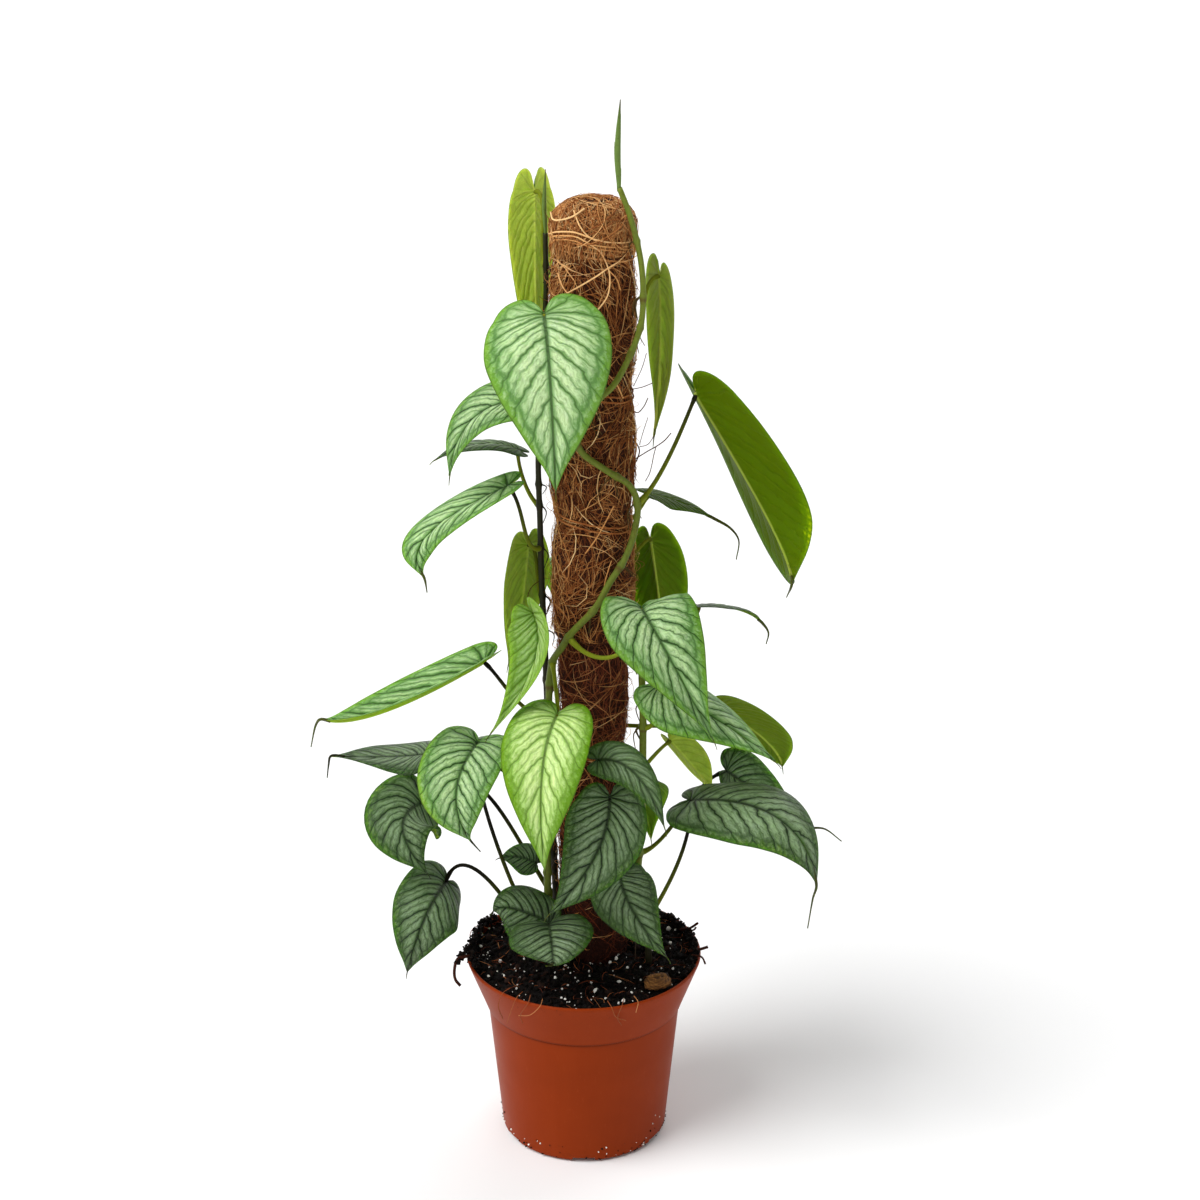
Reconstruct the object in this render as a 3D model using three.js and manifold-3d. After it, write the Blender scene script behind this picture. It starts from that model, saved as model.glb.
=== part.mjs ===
// A climbing monstera with silver leaves, on a coir pole in a nursery pot.
// Millimetres, +Z up. The origin is the centre of the pot's base, on the surface that it stands on.
// +X is to the right and -Y to the front, as the plant is usually seen.
import * as THREE from 'three';
import { mergeVertices } from 'three/addons/utils/BufferGeometryUtils.js';
import Module from 'manifold-3d';

const wasm = await Module();
wasm.setup();

// Driving dimensions
const CLEARANCE = 0.3;
const POT = {
  height: 99,
  rimRadius: 60,
  collarHeight: 26,
  collarFootRadius: 50.6,
  bodyTopRadius: 49.4,
  baseRadius: 42.6,
  wall: 1.6,
  floor: 4,
  edgeRounding: 2.4,
  segments: 40,
  drains: 6,
  drainWidth: 13,
  drainHeight: 2.4,
  drainHoleRadius: 3,
  drainHoleDistance: 35.5,
};
const SOIL = { edgeHeight: 96.4, mound: 5.5, lump: 1.1, segments: 26 };
const SOIL_RINGS = [0.91, 0.74, 0.54, 0.34]; // shares of the pot's rim radius, from the edge in
const POLE = {
  x: 5,
  coreRadius: 9,
  coreFoot: 6,
  lowerRadius: 16.5,
  upperRadius: 19.5,
  foot: 10,
  joint: 275,
  top: 487,
  crown: 12,
  footInset: 1.5,
  waist: 2.2,
  waistReach: 11,
  rowHeight: 13,
  coreSegments: 20,
  segments: 18,
  fibreRelief: 0.35, // slow ripple of the coir's surface
  fibreRidges: 5,
  fibreTwist: 9, // height over which the ripple turns by a radian
  crownRings: 3,
};
const BINDING = { strandRadius: 0.7, turns: 2, pitch: 2.6, tilt: 4, steps: 14, sides: 4, stand: 1.3 };
const BINDING_HEIGHTS = { binding_top: 464, binding_upper: 398, binding_middle: 334, binding_lower: 214 };
const CHIP = { x: 37, y: -34, length: 14, width: 12, height: 7, turn: 0.6 };
const VINE_SIDES = 6;
const VINE_STEP = 11.5;
const SPEAR = { steps: 8, slimmest: 0.35, span: [0.12, 0.98] }; // span: the part of the swelling that shows
// bend and setBack: shares of the petiole's reach. seat: how far its end runs under the midrib.
const PETIOLE = {
  radii: [1.15, 0.85],
  sides: 5,
  step: 12,
  fewest: 4,
  bend: 0.3,
  setBack: 0.08,
  seat: 1.2,
};
const TAIL = { radii: [0.9, 0.4], sides: 4, step: 10, root: 0.9 }; // root: the share of the midrib before it
const BLADE = { thickness: 0.7, wideRow: 80, ripple: 0.02 };

const COLOUR = {
  terracotta: 0xb5522a,
  soil: 0x1d130c,
  bark: 0x6a452b,
  wood: 0x9a7b55,
  coirLight: 0x8a6036,
  coirDark: 0x5f3b24,
  thread: 0xb4905c,
  vine: 0x7d8f35,
  darkVine: 0x4a4a26,
  silver: 0xa9c79c,
  slate: 0x6f8f78,
  lime: 0xb7d66f,
  underside: 0x6f9632,
  spear: 0x7f9a3e,
};

// Vines, each a list of points from its foot in the soil to its top
const VINES = {
  vine_main: {
    radii: [2, 1.3],
    colour: 'vine',
    points: [
      [-16, -6, 66], [-18, -5, 110], [-18, -5, 170], [-17, -6, 232], [-15, -11, 262], [-10, -17, 273],
      [-5, -20.5, 282], [6, -22.6, 295], [13, -22, 308], [20, -20, 319], [24.5, -16.5, 331], [26, -14, 344],
      [22, -18, 355], [11, -23, 364], [-1, -23.6, 374], [-3, -23.6, 387], [6, -23.2, 397], [14, -22.4, 404],
      [22, -20, 418], [27, -18, 432], [28, -16, 446], [27, -14, 460], [24, -14, 474], [21, -14, 484],
      [17, -13, 494],
    ],
  },
  vine_left: {
    radii: [1.9, 1.2],
    colour: 'darkVine',
    points: [
      [-11, 13, 66], [-14, 13, 120], [-17, 10, 190], [-18, 8, 236], [-19, 6, 270], [-20, 3, 300],
      [-20.5, 2, 330], [-21, 0, 365], [-19, 6, 405], [-17, 10, 440], [-17, 8, 469],
    ],
  },
  vine_right: {
    radii: [2.3, 1.3],
    colour: 'vine',
    points: [
      [22, 15, 66], [26, 11, 120], [29, 3, 170], [29.5, -5, 212], [29, -7, 246], [27, 6, 270],
      [20, 18, 290], [17, 21, 315], [17, 21.5, 360], [19, 20, 398],
    ],
  },
  vine_back: {
    radii: [1.9, 1.3],
    colour: 'vine',
    points: [
      [6, 22, 66], [8, 23, 140], [4, 22.5, 200], [2, 23, 260], [6, 25, 320], [8, 25, 370], [4, 25, 408],
    ],
  },
  stem_short_left: {
    radii: [1.9, 1.6],
    colour: 'darkVine',
    points: [[-26, -6, 66], [-27, -8, 100], [-28, -10, 132]],
  },
  stem_short_right: {
    radii: [1.9, 1.6],
    colour: 'darkVine',
    points: [[33, -12, 66], [33, -13, 100], [31, -15, 134]],
  },
};

// Rolled new leaves at the tips of vines: foot, tip and the widest radius
const SPEARS = {
  spear_top: { points: [[16.8, -12.9, 494.6], [16.2, -12, 512], [17.4, -10, 533]], radius: 1.4 },
  spear_left: { points: [[-17, 7.9, 469.6], [-17.4, 7, 484], [-16.6, 6, 499]], radius: 1 },
};

// Leaves. joint is where the petiole meets the blade, between its lobes; the midrib runs from there
// through middle to tip. face is the direction of the upper side: degrees to the right of the
// front, and degrees up. fold lifts the halves at the midrib and cup bends their margins down, in
// degrees. vine and at name the vine and the height on it where the petiole leaves. tail is the
// narrow drip tip, from the end of the blade on.
const LEAVES = {
  leaf_top_left: {
    joint: [-22, 20, 487], middle: [-22, 14, 453], tip: [-22, 0, 391], width: 31,
    face: [-136, 4], fold: 19, cup: 25, vine: 'vine_left', at: 452, colour: 'underside',
  },
  leaf_big_silver: {
    joint: [-17, -33, 441], middle: [-14, -46, 411], tip: [-12, -43, 360], width: 59,
    face: [-1, 14], fold: 9, cup: 29, vine: 'vine_main', at: 389, colour: 'silver',
  },
  leaf_upper_left_tilted: {
    joint: [-20, -19, 396], middle: [-49, -19, 389], tip: [-62, -20, 360], width: 35,
    face: [-31, 65], fold: 18, cup: 28, vine: 'vine_left', at: 374, colour: 'silver',
  },
  leaf_upper_left_edge: {
    joint: [-30, 11, 363], middle: [-49, 8, 367], tip: [-70, -4, 363], width: 29,
    face: [179, 84], fold: 7, cup: 21, vine: 'vine_left', at: 338, colour: 'slate',
  },
  leaf_left_arched: {
    joint: [-34, -12, 353], middle: [-72, -22, 332], tip: [-74, -35, 315], width: 28,
    face: [-26, 80], fold: 24, cup: 42, vine: 'vine_left', at: 316, colour: 'silver',
    tail: [[-73, -33, 307]],
  },
  leaf_left_behind: {
    joint: [-27, 15, 315], middle: [-30, 12, 286], tip: [-37, 10, 253], width: 34,
    face: [-129, 4], fold: 9, cup: 27, vine: 'vine_left', at: 292, colour: 'underside',
  },
  leaf_left_folded: {
    joint: [-24, -17, 291], middle: [-23, -29, 269], tip: [-44, -44, 239], width: 32,
    face: [-27, 20], fold: 58, cup: 24, vine: 'vine_left', at: 272, colour: 'silver',
  },
  leaf_left_long: {
    joint: [-47, -10, 263], middle: [-96, -26, 243], tip: [-126, -28, 240], width: 25,
    face: [-10, 80], fold: 50, cup: 23, vine: 'vine_left', at: 228, colour: 'silver',
    tail: [[-129, -25, 236], [-132, -25, 224]],
  },
  leaf_low_left_flat: {
    joint: [-77, 19, 201], middle: [-97, 19, 199], tip: [-127, 11, 203], width: 39,
    face: [0, 88], fold: 8, cup: 26, vine: 'vine_left', at: 168, colour: 'slate',
    tail: [[-128, 9, 199], [-129, 9, 192]],
    out: [-40, 14, 200], into: [-60, 20, 206],
  },
  leaf_low_left_silver: {
    joint: [-51, -24, 226], middle: [-60, -54, 213], tip: [-54, -50, 186], width: 42,
    face: [-16, 28], fold: 27, cup: 31, vine: 'stem_short_left', at: 124, colour: 'silver',
    tail: [[-49, -56, 183]],
    out: [-38, -7, 142], into: [-56, -20, 205],
  },
  leaf_low_left_dark: {
    joint: [-80, -3, 184], middle: [-89, -22, 179], tip: [-77, -28, 157], width: 41,
    face: [4, 30], fold: 11, cup: 31, vine: 'vine_left', at: 122, colour: 'slate',
    out: [-38, 29, 148], into: [-52, 14, 215],
  },
  leaf_front_lime: {
    joint: [-12, -39, 247], middle: [-19, -62, 225], tip: [-18, -63, 176], width: 44,
    face: [-18, 15], fold: 19, cup: 31, vine: 'vine_main', at: 262, colour: 'lime',
  },
  leaf_soil_left: {
    joint: [-69, -8, 143], middle: [-79, -37, 135], tip: [-88, -34, 105], width: 39,
    face: [8, 20], fold: 8, cup: 52, vine: 'stem_short_left', at: 110, colour: 'slate',
    out: [-42, -22, 150], into: [-62, -10, 166],
  },
  leaf_front_slate: {
    joint: [7, -45, 226], middle: [25, -52, 222], tip: [39, -66, 200], width: 22,
    face: [21, 45], fold: 14, cup: 30, vine: 'vine_right', at: 205, colour: 'slate',
  },
  leaf_front_dark: {
    joint: [13, -42, 206], middle: [6, -52, 179], tip: [-16, -63, 153], width: 40,
    face: [-2, 20], fold: 21, cup: 22, vine: 'stem_short_right', at: 128, colour: 'slate',
    out: [24, -14, 158], into: [14, -30, 190],
  },
  leaf_soil_front_left: {
    joint: [-16, -20, 125], middle: [-35, -23, 135], tip: [-45, -24, 134], width: 31,
    face: [7, 40], fold: 9, cup: 55, vine: 'stem_short_left', at: 116, colour: 'slate',
  },
  leaf_soil_front: {
    joint: [-17, -35, 133], middle: [-15, -52, 128], tip: [-15, -55, 121], width: 42,
    face: [-6, 53], fold: 15, cup: 21, vine: 'stem_short_left', at: 104, colour: 'slate',
    tail: [[-18, -58, 122]],
  },
  leaf_soil_front_right: {
    joint: [18, -32, 160], middle: [24, -41, 144], tip: [41, -53, 124], width: 35,
    face: [24, 30], fold: 12, cup: 31, vine: 'stem_short_right', at: 116, colour: 'slate',
  },
  leaf_inner_left: {
    joint: [-24, 9, 144], middle: [-33, 10, 147], tip: [-43, 9, 147], width: 18,
    face: [0, 50], fold: 8, cup: 24, vine: 'vine_left', at: 152, colour: 'slate',
  },
  leaf_top_right: {
    joint: [36, 7, 450], middle: [37, 13, 411], tip: [34, 7, 371], width: 31,
    face: [114, 11], fold: 13, cup: 32, vine: 'vine_main', at: 430, colour: 'underside',
  },
  leaf_right_large: {
    joint: [53, 0, 395], middle: [90, 6, 329], tip: [99, -25, 308], width: 56,
    face: [120, -11], fold: 29, cup: 21, vine: 'vine_main', at: 344, colour: 'underside',
    tail: [[98, -10, 296]],
    out: [39, -4, 354], into: [50, 2, 385],
  },
  leaf_right_upper: {
    joint: [31, 12, 341], middle: [45, 16, 336], tip: [64, 16, 327], width: 26,
    face: [0, 88], fold: 8, cup: 24, vine: 'vine_right', at: 322, colour: 'slate',
    tail: [[72, 16, 322], [76, 16, 316], [75, 16, 306]],
  },
  leaf_right_behind: {
    joint: [33, 22, 315], middle: [38, 10, 281], tip: [42, 15, 240], width: 33,
    face: [174, 6], fold: 48, cup: 43, vine: 'vine_right', at: 302, colour: 'underside',
  },
  leaf_right_silver: {
    joint: [28, -28, 297], middle: [38, -47, 285], tip: [62, -51, 239], width: 47,
    face: [8, 32], fold: 30, cup: 38, vine: 'vine_main', at: 279, colour: 'silver',
    out: [8, -27, 262], into: [28, -25, 272],
  },
  leaf_right_edge: {
    joint: [56, 15, 282], middle: [75, 18, 280], tip: [89, 20, 271], width: 26,
    face: [180, 72], fold: 8, cup: 24, vine: 'vine_right', at: 262, colour: 'slate',
    tail: [[92, 20, 266], [91, 20, 260]],
  },
  leaf_right_lower_silver: {
    joint: [36, -13, 251], middle: [59, -27, 243], tip: [92, -42, 224], width: 43,
    face: [11, 76], fold: 8, cup: 48, vine: 'vine_right', at: 226, colour: 'silver',
  },
  leaf_right_lower_back: {
    joint: [66, 17, 228], middle: [91, 22, 208], tip: [101, 22, 192], width: 43,
    face: [168, 46], fold: 10, cup: 23, vine: 'vine_back', at: 214, colour: 'underside',
  },
  leaf_low_right_slate: {
    joint: [53, -5, 186], middle: [94, -37, 192], tip: [114, -42, 158], width: 47,
    face: [10, 65], fold: 8, cup: 48, vine: 'stem_short_right', at: 124, colour: 'slate',
    tail: [[113, -36, 147], [111, -36, 131]],
    out: [42, -13, 141], into: [54, -13, 165],
  },
  leaf_low_right_behind: {
    joint: [72, 20, 191], middle: [87, 20, 180], tip: [113, 10, 164], width: 33,
    face: [-2, 54], fold: 10, cup: 16, vine: 'vine_right', at: 150, colour: 'slate',
    tail: [[122, 8, 164], [131, 8, 157]],
  },
  leaf_right_olive: {
    joint: [43, 18, 209], middle: [56, 17, 194], tip: [65, 12, 183], width: 22,
    face: [128, -11], fold: 30, cup: 12, vine: 'vine_right', at: 202, colour: 'underside',
  },
  leaf_back_high_left: {
    joint: [-9, 42, 424], middle: [-18, 64, 403], tip: [-25, 74, 360], width: 46,
    face: [-168, 25], fold: 10, cup: 32, vine: 'vine_back', at: 396, colour: 'silver',
  },
  leaf_back_high_right: {
    joint: [6, 40, 384], middle: [11, 54, 362], tip: [12, 64, 320], width: 40,
    face: [126, 22], fold: 10, cup: 32, vine: 'vine_back', at: 350, colour: 'silver',
  },
  leaf_back_middle_left: {
    joint: [-2, 44, 306], middle: [-7, 62, 290], tip: [-10, 74, 250], width: 44,
    face: [-132, 28], fold: 10, cup: 32, vine: 'vine_back', at: 276, colour: 'silver',
  },
  leaf_back_middle_right: {
    joint: [20, 50, 262], middle: [38, 74, 248], tip: [52, 84, 206], width: 44,
    face: [158, 32], fold: 10, cup: 32, vine: 'vine_back', at: 226, colour: 'slate',
  },
  leaf_back_low_left: {
    joint: [-30, 48, 194], middle: [-50, 70, 180], tip: [-64, 80, 142], width: 44,
    face: [-158, 32], fold: 10, cup: 32, vine: 'vine_back', at: 164, colour: 'slate',
  },
  leaf_back_low_right: {
    joint: [16, 48, 170], middle: [28, 70, 158], tip: [36, 80, 122], width: 42,
    face: [165, 32], fold: 10, cup: 32, vine: 'vine_back', at: 142, colour: 'slate',
  },
};

// Half of a blade's outline, from the notch at the petiole round the lobe to the tip, as shares of
// the midrib's length and of half the width, and where the rib to each point leaves the midrib
const OUTLINE = [
  [0, 0], [-0.075, 0.13], [-0.1, 0.38], [-0.035, 0.72], [0.13, 0.95],
  [0.33, 1], [0.55, 0.82], [0.75, 0.49], [0.91, 0.15], [1, 0],
];
const RIB_FOOT = [0, 0.02, 0.05, 0.1, 0.19, 0.32, 0.48, 0.66, 0.85, 1];

const group = new THREE.Group();

// Helpers
const vector = ([x, y, z]) => new THREE.Vector3(x, y, z);
const radians = THREE.MathUtils.degToRad;
const smooth = (a, b, t) => a + (b - a) * t;

function addMesh(name, geometry, colour, roughness = 0.7) {
  const material = new THREE.MeshStandardMaterial({ color: colour, roughness, metalness: 0 });
  const mesh = new THREE.Mesh(geometry, material);
  mesh.name = name;
  group.add(mesh);
}

// The solid of a closed geometry, with its shared points merged and its faces turned out
function toSolid(geometry) {
  const bare = geometry.clone();
  bare.deleteAttribute('normal');
  bare.deleteAttribute('uv');
  const merged = mergeVertices(bare, 1e-4);
  const points = merged.attributes.position;
  const corners = Array.from(merged.index.array);
  const faces = [];
  let volume = 0;
  for (let i = 0; i < corners.length; i += 3) {
    const [a, b, c] = corners.slice(i, i + 3);
    if (a === b || b === c || c === a) continue;
    faces.push([a, b, c]);
    const [p, q, r] = [a, b, c].map((k) => new THREE.Vector3().fromBufferAttribute(points, k));
    volume += p.dot(q.cross(r));
  }
  const triVerts = new Uint32Array(faces.flatMap(([a, b, c]) => (volume > 0 ? [a, b, c] : [a, c, b])));
  const vertProperties = new Float32Array(points.array);
  return new wasm.Manifold(new wasm.Mesh({ numProp: 3, vertProperties, triVerts }));
}

function toGeometry(solid) {
  const mesh = solid.getMesh();
  const geometry = new THREE.BufferGeometry();
  geometry.setAttribute('position', new THREE.BufferAttribute(mesh.vertProperties, 3));
  geometry.setIndex(new THREE.BufferAttribute(mesh.triVerts, 1));
  geometry.computeVertexNormals();
  return geometry;
}

// A closed geometry through rings of points, with a fan over each end
function loft(rings) {
  const count = rings[0].length;
  const positions = rings.flat().flatMap((p) => [p.x, p.y, p.z]);
  const index = [];
  for (let i = 0; i + 1 < rings.length; i += 1) {
    for (let k = 0; k < count; k += 1) {
      const next = (k + 1) % count;
      const [a, b] = [i * count + k, i * count + next];
      const [c, d] = [a + count, b + count];
      index.push(a, b, d, a, d, c);
    }
  }
  const ends = [[rings[0], 0, true], [rings.at(-1), (rings.length - 1) * count, false]];
  for (const [ring, start, flip] of ends) {
    const centre = ring.reduce((sum, p) => sum.add(p), new THREE.Vector3()).divideScalar(count);
    const middle = positions.length / 3;
    positions.push(centre.x, centre.y, centre.z);
    for (let k = 0; k < count; k += 1) {
      const [a, b] = [start + k, start + ((k + 1) % count)];
      index.push(...(flip ? [middle, b, a] : [middle, a, b]));
    }
  }
  const geometry = new THREE.BufferGeometry();
  geometry.setAttribute('position', new THREE.Float32BufferAttribute(positions, 3));
  geometry.setIndex(index);
  return geometry;
}

// A tube of changing radius along a curve
function tube(curve, steps, sides, radiusAt) {
  const frames = curve.computeFrenetFrames(steps, false);
  const rings = [];
  for (let i = 0; i <= steps; i += 1) {
    const centre = curve.getPointAt(i / steps);
    const radius = radiusAt(i / steps);
    const ring = [];
    for (let k = 0; k < sides; k += 1) {
      const angle = (2 * Math.PI * k) / sides;
      ring.push(centre.clone()
        .addScaledVector(frames.normals[i], radius * Math.cos(angle))
        .addScaledVector(frames.binormals[i], radius * Math.sin(angle)));
    }
    rings.push(ring);
  }
  return loft(rings);
}

// A ring of points about an upright axis
function levelRing(x, count, radiusAt, heightAt) {
  const ring = [];
  for (let k = 0; k < count; k += 1) {
    const angle = (2 * Math.PI * k) / count;
    const radius = radiusAt(angle);
    const [px, py] = [x + radius * Math.cos(angle), radius * Math.sin(angle)];
    ring.push(new THREE.Vector3(px, py, heightAt(px, py)));
  }
  return ring;
}

function uprightCylinder(x, y, radius, bottom, top, segments) {
  const geometry = new THREE.CylinderGeometry(radius, radius, top - bottom, segments);
  geometry.rotateX(Math.PI / 2);
  geometry.translate(x, y, (top + bottom) / 2);
  return geometry;
}

// Pot
const collarFoot = POT.height - POT.collarHeight;
const potInside = [
  [POT.rimRadius - POT.wall, POT.height - 0.5],
  [POT.collarFootRadius - POT.wall, collarFoot + 0.4],
  [POT.bodyTopRadius - POT.wall - 0.4, collarFoot - 1],
  [POT.baseRadius - POT.wall + 0.2, POT.floor + POT.edgeRounding],
  [POT.baseRadius - POT.wall - POT.edgeRounding, POT.floor],
];

function makePot() {
  const r = POT.edgeRounding;
  const outside = [
    [0, 0],
    [POT.baseRadius - r, 0],
    [POT.baseRadius - 0.3 * r, 0.3 * r],
    [POT.baseRadius, r],
    [POT.bodyTopRadius, collarFoot - 0.8],
    [POT.collarFootRadius, collarFoot],
    [POT.rimRadius - 0.2, POT.height - 0.8],
    [POT.rimRadius - 0.6, POT.height],
    [POT.rimRadius - POT.wall + 0.4, POT.height],
  ];
  const profile = [...outside, ...potInside, [0, POT.floor]].map(([x, y]) => new THREE.Vector2(x, y));
  const shell = new THREE.LatheGeometry(profile, POT.segments);
  shell.rotateX(Math.PI / 2);
  let pot = toSolid(shell);
  for (let k = 0; k < POT.drains; k += 1) {
    const angle = -Math.PI / 2 + (2 * Math.PI * k) / POT.drains;
    const notch = new THREE.BoxGeometry(20, POT.drainWidth, 2 * POT.drainHeight);
    notch.translate(POT.baseRadius, 0, 0);
    notch.rotateZ(angle);
    const hole = uprightCylinder(POT.drainHoleDistance, 0, POT.drainHoleRadius, -1, POT.floor + 1, 10);
    hole.rotateZ(angle);
    pot = pot.subtract(toSolid(notch)).subtract(toSolid(hole));
  }
  addMesh('pot', toGeometry(pot), COLOUR.terracotta, 0.55);
}

// Coir pole: a wooden core with a thinner sleeve below and a thicker one plugged over its top
const bindingHeights = Object.values(BINDING_HEIGHTS);

function waistAt(height) {
  const depths = bindingHeights.map((z) => Math.exp(-(((height - z) / POLE.waistReach) ** 2)));
  return POLE.waist * Math.max(...depths);
}

function sleeveRadius(height) {
  const radius = height < POLE.joint ? POLE.lowerRadius : POLE.upperRadius;
  return radius - waistAt(height);
}

function makeSleeve(name, bottom, top, crown, colour) {
  const rings = [];
  const rows = Math.round((top - crown - bottom) / POLE.rowHeight);
  for (let i = 0; i <= rows; i += 1) {
    const height = smooth(bottom, top - crown, i / rows);
    const inset = i === 0 ? POLE.footInset : 0;
    const turn = height / POLE.fibreTwist;
    const fibre = (angle) => POLE.fibreRelief * Math.sin(POLE.fibreRidges * angle + turn);
    const radiusAt = (angle) => sleeveRadius(height) - inset + fibre(angle);
    rings.push(levelRing(POLE.x, POLE.segments, radiusAt, () => height));
  }
  const crownStep = Math.PI / (2 * POLE.crownRings + 1);
  for (let i = 1; i <= POLE.crownRings && crown > 0; i += 1) {
    const angle = i * crownStep;
    const radius = sleeveRadius(top - crown) * Math.cos(angle);
    const height = top - crown + crown * Math.sin(angle) / Math.sin(POLE.crownRings * crownStep);
    rings.push(levelRing(POLE.x, POLE.segments, () => radius, () => height));
  }
  const cavityTop = crown > 0 ? top - crown + CLEARANCE : top + 1;
  const cavityRadius = POLE.coreRadius + CLEARANCE;
  const cavity = uprightCylinder(POLE.x, 0, cavityRadius, bottom - 1, cavityTop, POLE.segments);
  addMesh(name, toGeometry(toSolid(loft(rings)).subtract(toSolid(cavity))), colour, 0.95);
}

function makeBinding(name, height) {
  const radius = sleeveRadius(height) + BINDING.strandRadius + BINDING.stand;
  const points = [];
  const total = BINDING.turns * BINDING.steps;
  for (let i = 0; i <= total; i += 1) {
    const angle = (2 * Math.PI * i) / BINDING.steps;
    const rise = BINDING.pitch * (i / BINDING.steps - BINDING.turns / 2) - BINDING.tilt * Math.cos(angle);
    const level = height + rise;
    const reach = sleeveRadius(level) - sleeveRadius(height) + radius;
    points.push(new THREE.Vector3(POLE.x + reach * Math.cos(angle), reach * Math.sin(angle), level));
  }
  const strand = new THREE.CatmullRomCurve3(points);
  const solid = toSolid(tube(strand, total, BINDING.sides, () => BINDING.strandRadius));
  addMesh(name, toGeometry(solid), COLOUR.thread, 0.9);
}

function makePole() {
  const coreTop = POLE.top - POLE.crown;
  const core = uprightCylinder(POLE.x, 0, POLE.coreRadius, POLE.coreFoot, coreTop, POLE.coreSegments);
  addMesh('stake_core', core, COLOUR.wood, 0.8);
  makeSleeve('coir_sleeve_lower', POLE.foot, POLE.joint - CLEARANCE, 0, COLOUR.coirDark);
  makeSleeve('coir_sleeve_upper', POLE.joint, POLE.top, POLE.crown, COLOUR.coirLight);
  for (const [name, height] of Object.entries(BINDING_HEIGHTS)) makeBinding(name, height);
}

// Vines
function vineCurve(vine) {
  return new THREE.CatmullRomCurve3(vine.points.map(vector), false, 'centripetal');
}

function vineSteps(curve) {
  return Math.ceil(curve.getLength() / VINE_STEP);
}

function vineTube(vine, extra = 0) {
  const curve = vineCurve(vine);
  const steps = vineSteps(curve);
  return toSolid(tube(curve, steps, VINE_SIDES, (t) => smooth(...vine.radii, t) + extra));
}

// The point, direction and radius of a vine at a height
function vineAt(vine, height) {
  const curve = vineCurve(vine);
  let [low, high] = [0, 1];
  for (let i = 0; i < 24; i += 1) {
    const t = (low + high) / 2;
    if (curve.getPointAt(t).z < height) low = t;
    else high = t;
  }
  const steps = vineSteps(curve);
  const before = Math.floor(low * steps);
  const next = curve.getPointAt((before + 1) / steps);
  const point = curve.getPointAt(before / steps).lerp(next, low * steps - before);
  return { point, along: curve.getTangentAt(low), radius: smooth(...vine.radii, low) };
}

function makeVines() {
  for (const [name, vine] of Object.entries(VINES)) {
    addMesh(name, toGeometry(vineTube(vine)), COLOUR[vine.colour], 0.6);
  }
  for (const [name, spear] of Object.entries(SPEARS)) {
    const curve = new THREE.CatmullRomCurve3(spear.points.map(vector));
    const swell = (t) => Math.sin(Math.PI * smooth(...SPEAR.span, t));
    const radiusAt = (t) => spear.radius * smooth(SPEAR.slimmest, 1, swell(t));
    addMesh(name, toGeometry(toSolid(tube(curve, SPEAR.steps, VINE_SIDES, radiusAt))), COLOUR.spear, 0.5);
  }
}

// Leaves
function leafFrame(leaf) {
  const [joint, middle, tip] = [leaf.joint, leaf.middle, leaf.tip].map(vector);
  const handle = middle.clone().multiplyScalar(2).sub(joint.clone().add(tip).multiplyScalar(0.5));
  const rib = new THREE.QuadraticBezierCurve3(joint, handle, tip);
  const [side, up] = leaf.face.map(radians);
  const face = new THREE.Vector3(Math.sin(side) * Math.cos(up), -Math.cos(side) * Math.cos(up), Math.sin(up));
  const length = rib.getLength();
  return { rib, face, length };
}

// The place of a point of the blade that lies a share along and a share across it
function bladePoint(leaf, frame, along, across, side) {
  const t = Math.max(along, 0);
  const centre = frame.rib.getPoint(t);
  const forward = frame.rib.getTangent(t);
  centre.addScaledVector(forward, Math.min(along, 0) * frame.length);
  const over = new THREE.Vector3().crossVectors(forward, frame.face).normalize();
  const up = new THREE.Vector3().crossVectors(over, forward);
  const [fold, cup] = [radians(leaf.fold), radians(leaf.cup)];
  const bend = fold - cup * across;
  const out = (Math.sin(fold) - Math.sin(bend)) / cup;
  const ripple = BLADE.ripple * across ** 2 * Math.sin(9 * along + side);
  const lift = (Math.cos(bend) - Math.cos(fold)) / cup + ripple;
  const half = leaf.width / 2;
  return centre.addScaledVector(over, side * out * half).addScaledVector(up, lift * half);
}

// The blade: a grid over each half, doubled to its thickness and closed round the margin
function bladeGeometry(leaf, frame) {
  const columns = frame.length > BLADE.wideRow ? 3 : 2;
  const last = OUTLINE.length - 1;
  const points = [];
  const triangles = [];
  const margins = [];
  for (const side of [-1, 1]) {
    const grid = OUTLINE.map(([endAlong, endAcross], row) => {
      const count = row === 0 || row === last ? 0 : columns;
      const ids = [];
      for (let k = 0; k <= count; k += 1) {
        const share = count ? k / count : 0;
        const along = smooth(RIB_FOOT[row], endAlong, share);
        ids.push(points.push(bladePoint(leaf, frame, along, endAcross * share, side)) - 1);
      }
      return ids;
    });
    const put = (a, b, c) => triangles.push(side > 0 ? [a, b, c] : [a, c, b]);
    for (let row = 0; row < last; row += 1) {
      const [here, next] = [grid[row], grid[row + 1]];
      for (let k = 0; k < columns; k += 1) {
        if (here.length > 1 && next.length > 1) {
          put(here[k], next[k], next[k + 1]);
          put(here[k], next[k + 1], here[k + 1]);
        } else if (here.length > 1) {
          put(here[k], next[0], here[k + 1]);
        } else {
          put(here[0], next[k], next[k + 1]);
        }
      }
    }
    margins.push({ side, ids: grid.map((ids) => ids.at(-1)) });
  }
  return thicken(points, triangles, margins);
}

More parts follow.
